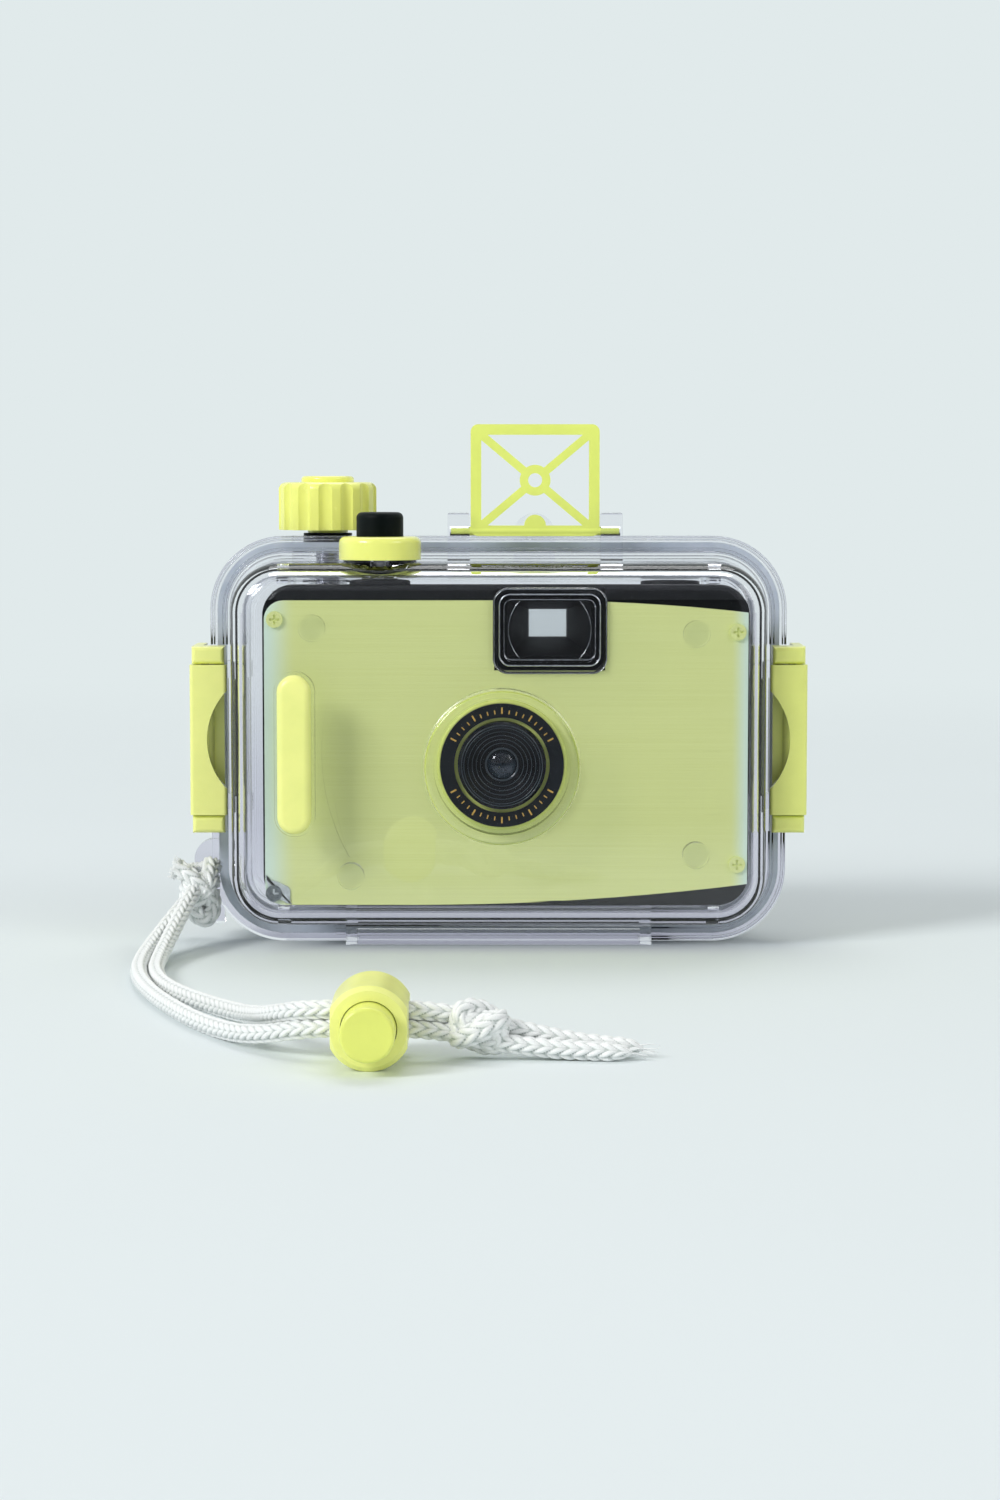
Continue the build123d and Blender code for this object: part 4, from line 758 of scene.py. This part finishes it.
core = [tuple(KNOT_START.lerp(KNOT_END, share)) for share in (0, 0.3, 0.6, 1)]
end_wrap = mesh_piece("end_wrap", [
    braided(smooth_line(knot_strand(), "end"), radius=KNOT_RADIUS, seed=10, floor=FLOOR),
    braided(smooth_line(core, "end"), radius=KNOT_CORE_RADIUS, taper_start=KNOT_TAPER, taper_end=KNOT_TAPER,
            seed=14, floor=FLOOR),
], YARN)

# The knot at the strap lug: one cut end to the left, one strand up to the lug, and a loop below
LUG_STRANDS = [
    [(-67.3, -8.8, 16.0), (-66.2, -9.2, 15.6), (-64.2, -9.9, 14.4), (-62.3, -10.2, 12.6), (-60.8, -9.4, 10.6),
     (-60.4, -7.4, 8.8), (-61.6, -5.6, 7.6)],
    [(-60.6, -3.8, 15.9), (-60.6, -6.2, 15.2), (-60.6, -8.4, 13.6), (-61.0, -9.7, 11.8), (-62.6, -10.3, 10.0),
     (-64.4, -9.4, 9.2), (-65.4, -7.2, 10.0), (-64.6, -5.2, 11.6)],
    [(-64.6, -7.4, 11.6), (-64.3, -8.6, 8.8), (-63.3, -9.1, 6.4), (-61.6, -9.0, 5.2), (-60.2, -8.4, 6.4),
     (-59.9, -7.6, 8.8), (-60.4, -6.6, 11.0)],
    [(-64.9, -5.0, 14.2), (-65.0, -7.6, 12.6), (-63.6, -9.2, 11.6), (-61.2, -8.8, 13.4), (-59.9, -6.6, 13.6),
     (-60.6, -4.4, 12.4)],
]
LUG_CORE = [(-62.3, -6.9, 7.4), (-62.3, -6.9, 10.0), (-62.2, -6.7, 12.6), (-62.1, -6.5, 15.2)]
LUG_RADIUS, LUG_CORE_RADIUS, LUG_TAPER, LUG_FLARE = 1.75, 2.5, 2.5, 0.35
LUG_CUT = (-67.0, -8.8, 15.9)
lug_parts = []
for number, points in enumerate(LUG_STRANDS):
    flare = LUG_FLARE if number < 2 else 0.0
    lug_parts.append(braided(smooth_line(points, "lug"), radius=LUG_RADIUS, flare=flare, seed=20 + number))
lug_parts.append(braided(
    smooth_line(LUG_CORE, "lug"), radius=LUG_CORE_RADIUS,
    taper_start=LUG_TAPER, taper_end=LUG_TAPER, seed=25))
lug_parts.append(frayed(at(*LUG_CUT), Vector((-1.0, -0.1, 0.35)), radius=2.0, length=1.8, count=90, seed=31))
lug_wrap = mesh_piece("lug_wrap", lug_parts, YARN)

# The two loops from the knot through the lug's hole and back round its bar
HOLE_X, OUTER_X, LOOP_BACK = -61.25, -66.05, 5.3
LOOP_HEIGHTS = (10.65, 14.05)
loop_parts = []
for number, height in enumerate(LOOP_HEIGHTS):
    points = [
        (HOLE_X, -6.0, height), (HOLE_X, -2.0, height), (HOLE_X, 1.8, height), (HOLE_X - 0.1, 4.6, height),
        (HOLE_X - 1.0, LOOP_BACK, height), (OUTER_X + 1.0, LOOP_BACK, height), (OUTER_X + 0.1, 4.6, height),
        (OUTER_X, 1.8, height), (OUTER_X, -2.0, height), (OUTER_X + 1.2, -6.0, height),
    ]
    loop_parts.append(braided(smooth_line(points, "loop"), seed=50 + number))
lug_loops = mesh_piece("lug_loops", loop_parts, YARN)

for piece, node in (
    (cord_rear, "strap_cord_rear"),
    (cord_fore, "strap_cord_fore"),
    (lug_wrap, "lug_knot"),
    (lug_loops, "strap_loops"),
    (end_wrap, "end_knot"),
):
    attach(piece, "case")
    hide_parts(node)


# Plain marks round the lens, in the ring's own gold: two arcs of ticks, every fourth one longer
MARK_ARCS = ((-62, 62), (118, 242))
MARK_COUNT = 17
MARK_PLACE = PLATE_Y - 3.2
MARK_LOW, MARK_HIGH, MARK_TALL = 10.6 * MM, 11.4 * MM, 11.9 * MM
MARK_HALF, MARK_TALL_HALF = 0.11 * MM, 0.16 * MM
MARK_BACK, MARK_FRONT = 0.02 * MM, -0.05 * MM


def lens_marks():
    """Thin raised blocks, as (points, faces, heights)."""
    vertices = []
    faces = []
    centre = at(LENS_X, MARK_PLACE, LENS_Z)
    for first, last in MARK_ARCS:
        for number, angle in enumerate(arc_angles(first, last - first, MARK_COUNT - 1)):
            high, half = (MARK_TALL, MARK_TALL_HALF) if number % 4 == 0 else (MARK_HIGH, MARK_HALF)
            out = Vector((math.sin(angle), 0, math.cos(angle)))
            side = Vector((math.cos(angle), 0, -math.sin(angle)))
            base = len(vertices)
            for depth in (MARK_BACK, MARK_FRONT):
                for reach, turn in ((MARK_LOW, -1), (MARK_LOW, 1), (high, 1), (high, -1)):
                    vertices.append(centre + out * reach + side * half * turn + Vector((0, depth, 0)))
            quads = ((4, 5, 6, 7), (0, 3, 2, 1), (0, 1, 5, 4), (1, 2, 6, 5), (2, 3, 7, 6), (3, 0, 4, 7))
            faces += [tuple(base + index for index in quad) for quad in quads]
    return vertices, faces, [0.0] * len(vertices)


def wire(points, radius, closed=False):
    """A thin round wire through points in mm from the seam plane, as (points, faces, heights)."""
    sides = 8
    line = [at(*point) for point in points]
    if closed:
        line += line[:2]
    vertices = []
    for centre, axes in zip(line, frames_along(line)):
        for corner in range(sides):
            vertices.append(round_about(centre, axes, 2 * math.pi * corner / sides, radius * MM))
    return vertices, skin(len(line), sides), [0.0] * len(vertices)


def round_frame(width, height, corner, y):
    """Points round a rectangle with round corners, centred on the viewfinder."""
    points = []
    for x_sign, z_sign, start in ((1, 1, 0), (-1, 1, 90), (-1, -1, 180), (1, -1, 270)):
        for angle in arc_angles(start, 90, 8):
            x = FINDER_X + x_sign * (width / 2 - corner) + corner * math.cos(angle)
            z = FINDER_Z + z_sign * (height / 2 - corner) + corner * math.sin(angle)
            points.append((x, y, z))
    return points


def lens_edge(radius, y, half_height):
    """The round edge of the viewfinder's lens, as far as its window shows it on each side."""
    reach = math.asin(half_height / radius)
    arcs = []
    for middle in (0, math.pi):
        angles = [middle - reach + 2 * reach * number / 24 for number in range(25)]
        arcs.append([
            (FINDER_X + radius * math.cos(angle), y, FINDER_Z + radius * math.sin(angle))
            for angle in angles])
    return arcs


# Radius, depth behind the barrel's face and wire radius of the beads, and of the ring that holds the glass
BARREL_BEADS = (
    (8.3, 0.0, 0.14), (7.8, 0.0, 0.09), (6.96, 0.68, 0.09), (6.12, 1.36, 0.09), (5.28, 2.04, 0.09),
    (4.44, 2.72, 0.09), (3.3, 3.3, 0.26),
)


def barrel_beads():
    """The rounded edges of the barrel's steps, and the ring that holds its glass, in a grey that paints their
    highlights.
    """
    beads = []
    count = 72
    for radius, depth, thick in BARREL_BEADS:
        circle = []
        for number in range(count):
            angle = 2 * math.pi * number / count
            x, z = LENS_X + radius * math.cos(angle), LENS_Z + radius * math.sin(angle)
            circle.append((x, BARREL_Y + depth, z))
        beads.append(wire(circle, thick, closed=True))
    return beads


# The finder's bright edges: width, height, round corner, place before the plate and wire radius
FINDER_TRIMS = ((20.6, 14.6, 2.2, 1.62, 0.16), (18.8, 12.4, 1.6, 0.72, 0.1))
FINDER_LENS, FINDER_LENS_HALF, FINDER_LENS_OUT, FINDER_LENS_WIRE = 8.5, 5.9, 0.6, 0.06

marks = mesh_piece("lens_marks", [lens_marks()], GILT, smooth=False)
beads = mesh_piece("barrel_beads", barrel_beads(), BEAD_HIGHLIGHT)
finder_trim = mesh_piece("finder_trim", [
    wire(round_frame(width, height, corner, PLATE_Y - out), radius, closed=True)
    for width, height, corner, out, radius in FINDER_TRIMS
], CHROME)
finder_edge = mesh_piece("finder_lens_edge", [
    wire(arc, FINDER_LENS_WIRE)
    for arc in lens_edge(FINDER_LENS, PLATE_Y - FINDER_LENS_OUT, FINDER_LENS_HALF)
], CHROME)
for piece, slot in (
    (marks, "black_plastic"), (beads, "black_plastic"), (finder_trim, "steel"), (finder_edge, "steel"),
):
    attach(piece, "case")


COIL_STEPS = 40     # in one turn


def coil(low, high, radius, turns):
    """Points of a spring's wire from one height to another about an upright axis, in mm."""
    count = round(turns * COIL_STEPS)
    points = []
    for number in range(count + 1):
        angle = 2 * math.pi * turns * number / count
        height = low + (high - low) * number / count
        points.append((radius * math.cos(angle), radius * math.sin(angle), height))
    return points


# The two springs, built at rest; on the camera they close up as their buttons go in
BUTTON_X, BUTTON_Y = -24.5, -12.0
BUTTON_LOW, BUTTON_HIGH = 82.47, 87.63      # the middle of the wire, at rest
BUTTON_RADIUS, BUTTON_WIRE, BUTTON_TURNS = 2.6, 0.5, 4.0
LOCK_X, LOCK_Y, LOCK_Z = -21.4, -139.35, 7.2
LOCK_RADIUS, LOCK_WIRE, LOCK_TURNS = 3.0, 0.5, 2.5
LOCK_ROOM, LOCK_CLEAR, LOCK_TRAVEL = 3.7, 0.3, 2.2

button_turns = coil(BUTTON_LOW, BUTTON_HIGH, BUTTON_RADIUS, BUTTON_TURNS)
button_coil = mesh_piece("button_coil", [
    wire([(BUTTON_X + x, BUTTON_Y + y, z) for x, y, z in button_turns], BUTTON_WIRE / 2),
], STEEL)
lock_turns = coil(LOCK_CLEAR, LOCK_ROOM - LOCK_CLEAR, LOCK_RADIUS, LOCK_TURNS)
lock_coil = mesh_piece("lock_coil", [
    wire([(LOCK_X + x, LOCK_Y - z, LOCK_Z + y) for x, y, z in lock_turns], LOCK_WIRE / 2),
], STEEL)
for piece, node in ((button_coil, "button_spring"), (lock_coil, "lock_spring")):
    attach(piece, "case")
    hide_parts(node)
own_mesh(button_coil)
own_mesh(lock_coil)


# The fine lines round the rim's front face, clear of its clasps, groove and feet: inset and radius of each
RIM_BEADS = ((0.35, 0.22), (0.92, 0.16), (2.75, 0.16), (3.5, 0.2), (4.25, 0.14))
RIM_GAP = 0.01
RIM_WIDE, RIM_HIGH, RIM_CORNER, RIM_FRONT = 121.0, 85.5, 15.5, -2.5
CLASP_TOP, CLASP_FOOT = 62.7, 23.3
FOOT_SIDE, FOOT_TOP, LUG_SIDE = 32.3, 3.0, -34.0


def rim_corner(inset, y, side, start):
    """One round corner of a line on the rim: a quarter turn clockwise from the start angle."""
    half, corner = RIM_WIDE / 2 - inset, RIM_CORNER - inset
    up = RIM_HIGH - RIM_CORNER if start > 0 else RIM_CORNER
    points = []
    for angle in arc_angles(start, -90, 16):
        points.append((side * (half - corner) + corner * math.cos(angle), y, up + corner * math.sin(angle)))
    return points


def rim_lines(inset, y):
    """The line over the top from clasp to clasp, and the one below to a foot or to beside the lug."""
    half = RIM_WIDE / 2 - inset
    over = [(-half, y, CLASP_TOP)] + rim_corner(inset, y, -1, 180) + rim_corner(inset, y, 1, 90)
    under = [(half, y, CLASP_FOOT)] + rim_corner(inset, y, 1, 0)
    end = FOOT_SIDE if inset < FOOT_TOP else LUG_SIDE
    return [over + [(half, y, CLASP_TOP)], under + [(end, y, inset)]]


rim_beads = mesh_piece("rim_beads", [
    wire(line, radius)
    for inset, radius in RIM_BEADS
    for line in rim_lines(inset, RIM_FRONT - radius - RIM_GAP)
], CLEAR)
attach(rim_beads, "case")

BRACKET_EDGE, BRACKET_CORNER = 0.15, 6.3      # in from the front plate's edge, and its round corner
BRACKET_LEFT = ((0.0, 15.0), (2.2, 14.6))     # its upper left corners, across from its own left edge
BRACKET_RIGHT = ((-43.4, 13.4), (-43.0, 12.8))
BRACKET_TURN = (262, -82)                     # its round corner's start and sweep, in degrees
BRACKET_LAYERS = ((0.05, 1.0), (-0.2, 1.0), (-0.32, 0.95))     # place at the plate, share of the outline


def corner_bracket():
    """The small bare plate under the one screw that shows, at the front plate's lower left."""
    low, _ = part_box("camera_faceplate")
    left, bottom = low[0] / MM + BRACKET_EDGE, low[2] / MM + BRACKET_EDGE
    arc = []
    for angle in arc_angles(*BRACKET_TURN, 8):
        arc.append((left + BRACKET_CORNER + BRACKET_CORNER * math.cos(angle),
                    bottom + BRACKET_CORNER + BRACKET_CORNER * math.sin(angle)))
    outline = [(left + x, z) for x, z in BRACKET_LEFT]
    outline += [*BRACKET_RIGHT, (BRACKET_RIGHT[-1][0], arc[0][1]), *arc]
    count = len(outline)
    middle = Vector((sum(x for x, _ in outline), sum(z for _, z in outline))) / count
    vertices = []
    for y, share in BRACKET_LAYERS:
        for x, z in outline:
            vertices.append(
                at(middle.x + (x - middle.x) * share, PLATE_Y + y, middle.y + (z - middle.y) * share))
    return vertices, skin(len(BRACKET_LAYERS), count), [0.0] * len(vertices)


bracket = mesh_piece("corner_bracket", [corner_bracket()], BARE, smooth=False)
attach(bracket, "case")


# Floor, backdrop and light. Distances are in metres from the frame's origin, towards the backdrop
PALE = linear(225, 234, 235)
DIM = (0.06, 0.065, 0.07, 1)
# painted light: a glow that clear plastic sees on the paper, and its share
PAINTED_RIM_GLOW, PAINTED_RIM_GLOW_SHARE = (0.5, 0.52, 0.62, 1), 0.6
THROUGH_ROOM = (0.42, 0.44, 0.48, 1)
FADE_FAR = (0.15, 0.9)
FADE_BEHIND_CAMERA = (-0.8, -1.9)
# where the paper's painted dark reflection begins and is full, in Y
FADE_DIM = (-0.14, -0.3)
AHEAD = (-0.35, 0.15)                 # Y of a ray's direction, from the room to the backdrop


def seen_directly(shader):
    """1 for rays that look, reflect or pass through, and 0 for those that carry light."""
    looked = shader.maths("MAXIMUM", shader.ray("Camera"), shader.ray("Glossy"))
    return shader.maths("MAXIMUM", looked, shader.ray("Transmission"))


def paper():
    """Pale paper that takes shadows near the object and turns into an even pale background far behind it.
    Gloss sees it turn dark in front of the object, a painted dark reflection as of a table ending there, and
    seen through clear plastic it glows with painted light that makes the case's rims pale."""
    shader = new_material("paper")
    body = shader.surface(0.9, specular=0.1)
    mottle = shader.noise(3, detail=2)
    shader.link(shader.ramp(mottle, linear(227, 234, 235), linear(230, 237, 238)), body.inputs["Base Color"])
    away = shader.axis("Y")
    # painted light: seen through clear plastic the paper glows, which makes the case's rims pale
    through = shader.maths("MULTIPLY", shader.ray("Transmission"), PAINTED_RIM_GLOW_SHARE)
    near = shader.blend(through, body.outputs["BSDF"], shader.plain("Emission", PAINTED_RIM_GLOW))
    edge = shader.maths(
        "MAXIMUM", shader.between(away, *FADE_FAR), shader.between(away, *FADE_BEHIND_CAMERA))
    share = shader.maths("MULTIPLY", edge, seen_directly(shader))
    faded = shader.blend(share, near, shader.plain("Emission", PALE))
    # painted reflection: glossy rays see the paper dark in front of the object
    painted_dark_reflection = shader.maths("MULTIPLY", shader.between(away, *FADE_DIM), shader.ray("Glossy"))
    return shader.done(shader.blend(painted_dark_reflection, faded, shader.plain("Emission", DIM)))


BACKDROP_WIDE = 3.0
BACKDROP = ((-2.2, 0.0), (-0.6, 0.0), (0.0, 0.0), (0.9, 0.0), (1.3, 0.03), (1.65, 0.14), (1.95, 0.36),
            (2.15, 0.7), (2.25, 1.2), (2.3, 2.4))       # Y and Z across its sweep


def backdrop():
    """The floor and the wall behind it, as one curved sheet."""
    vertices = [(x, y, z) for x in (-BACKDROP_WIDE, BACKDROP_WIDE) for y, z in BACKDROP]
    count = len(BACKDROP)
    faces = [(index, count + index, count + index + 1, index + 1) for index in range(count - 1)]
    mesh = bpy.data.meshes.new("backdrop")
    mesh.from_pydata(vertices, [], faces)
    mesh.polygons.foreach_set("use_smooth", [True] * len(faces))
    mesh.materials.append(paper())
    return placed("backdrop", mesh)


backdrop()

LAMP_TARGET = Vector((0, 0, 0.04))


def area_lamp(name, place, size, power):
    """A soft lamp in metres and watts, turned to the object."""
    lamp = bpy.data.lights.new(name, "AREA")
    lamp.shape = "RECTANGLE"
    lamp.size, lamp.size_y = size
    lamp.energy = power
    made = placed(name, lamp)
    made.location = place
    made.rotation_euler = (LAMP_TARGET - Vector(place)).to_track_quat("-Z", "Y").to_euler()


area_lamp("key", (-1.6, -1.35, 1.35), (0.8, 0.8), 35.0)
area_lamp("fill", (1.6, -1.2, 1.1), (0.9, 0.9), 8.0)
area_lamp("top", (0.1, 0.9, 1.9), (1.4, 0.9), 11.0)


def studio():
    """Even light from all round. Gloss sees it as a pale backdrop ahead and a dim room behind the camera,
    and clear plastic shows that room less dim."""
    world = bpy.data.worlds.new("studio")
    bpy.context.scene.world = world
    shader = Shader(world, "OutputWorld")
    coordinates = shader.node("TexCoord")
    split = shader.node("SeparateXYZ")
    shader.link(coordinates.outputs["Generated"], split.inputs["Vector"])
    ahead = shader.between(split.outputs["Y"], *AHEAD)
    lighting = shader.plain("Background", (0.96, 0.985, 1.0, 1), 0.4)
    room = shader.node("Background")
    shader.link(shader.ramp(ahead, DIM, PALE, 0.0, 1.0), room.inputs["Color"])
    through = shader.node("Background")
    shader.link(shader.ramp(ahead, THROUGH_ROOM, PALE, 0.0, 1.0), through.inputs["Color"])
    lit = shader.blend(seen_directly(shader), lighting, room.outputs["Background"])
    lit = shader.blend(shader.ray("Transmission"), lit, through.outputs["Background"])
    shader.done(shader.blend(shader.ray("Camera"), lit, shader.plain("Background", PALE)))


studio()

scene = bpy.context.scene
scene.view_settings.view_transform = "Standard"
scene.cycles.max_bounces = 16
scene.cycles.transmission_bounces = 16
scene.cycles.transparent_max_bounces = 24
scene.cycles.caustics_refractive = False
scene.cycles.caustics_reflective = False
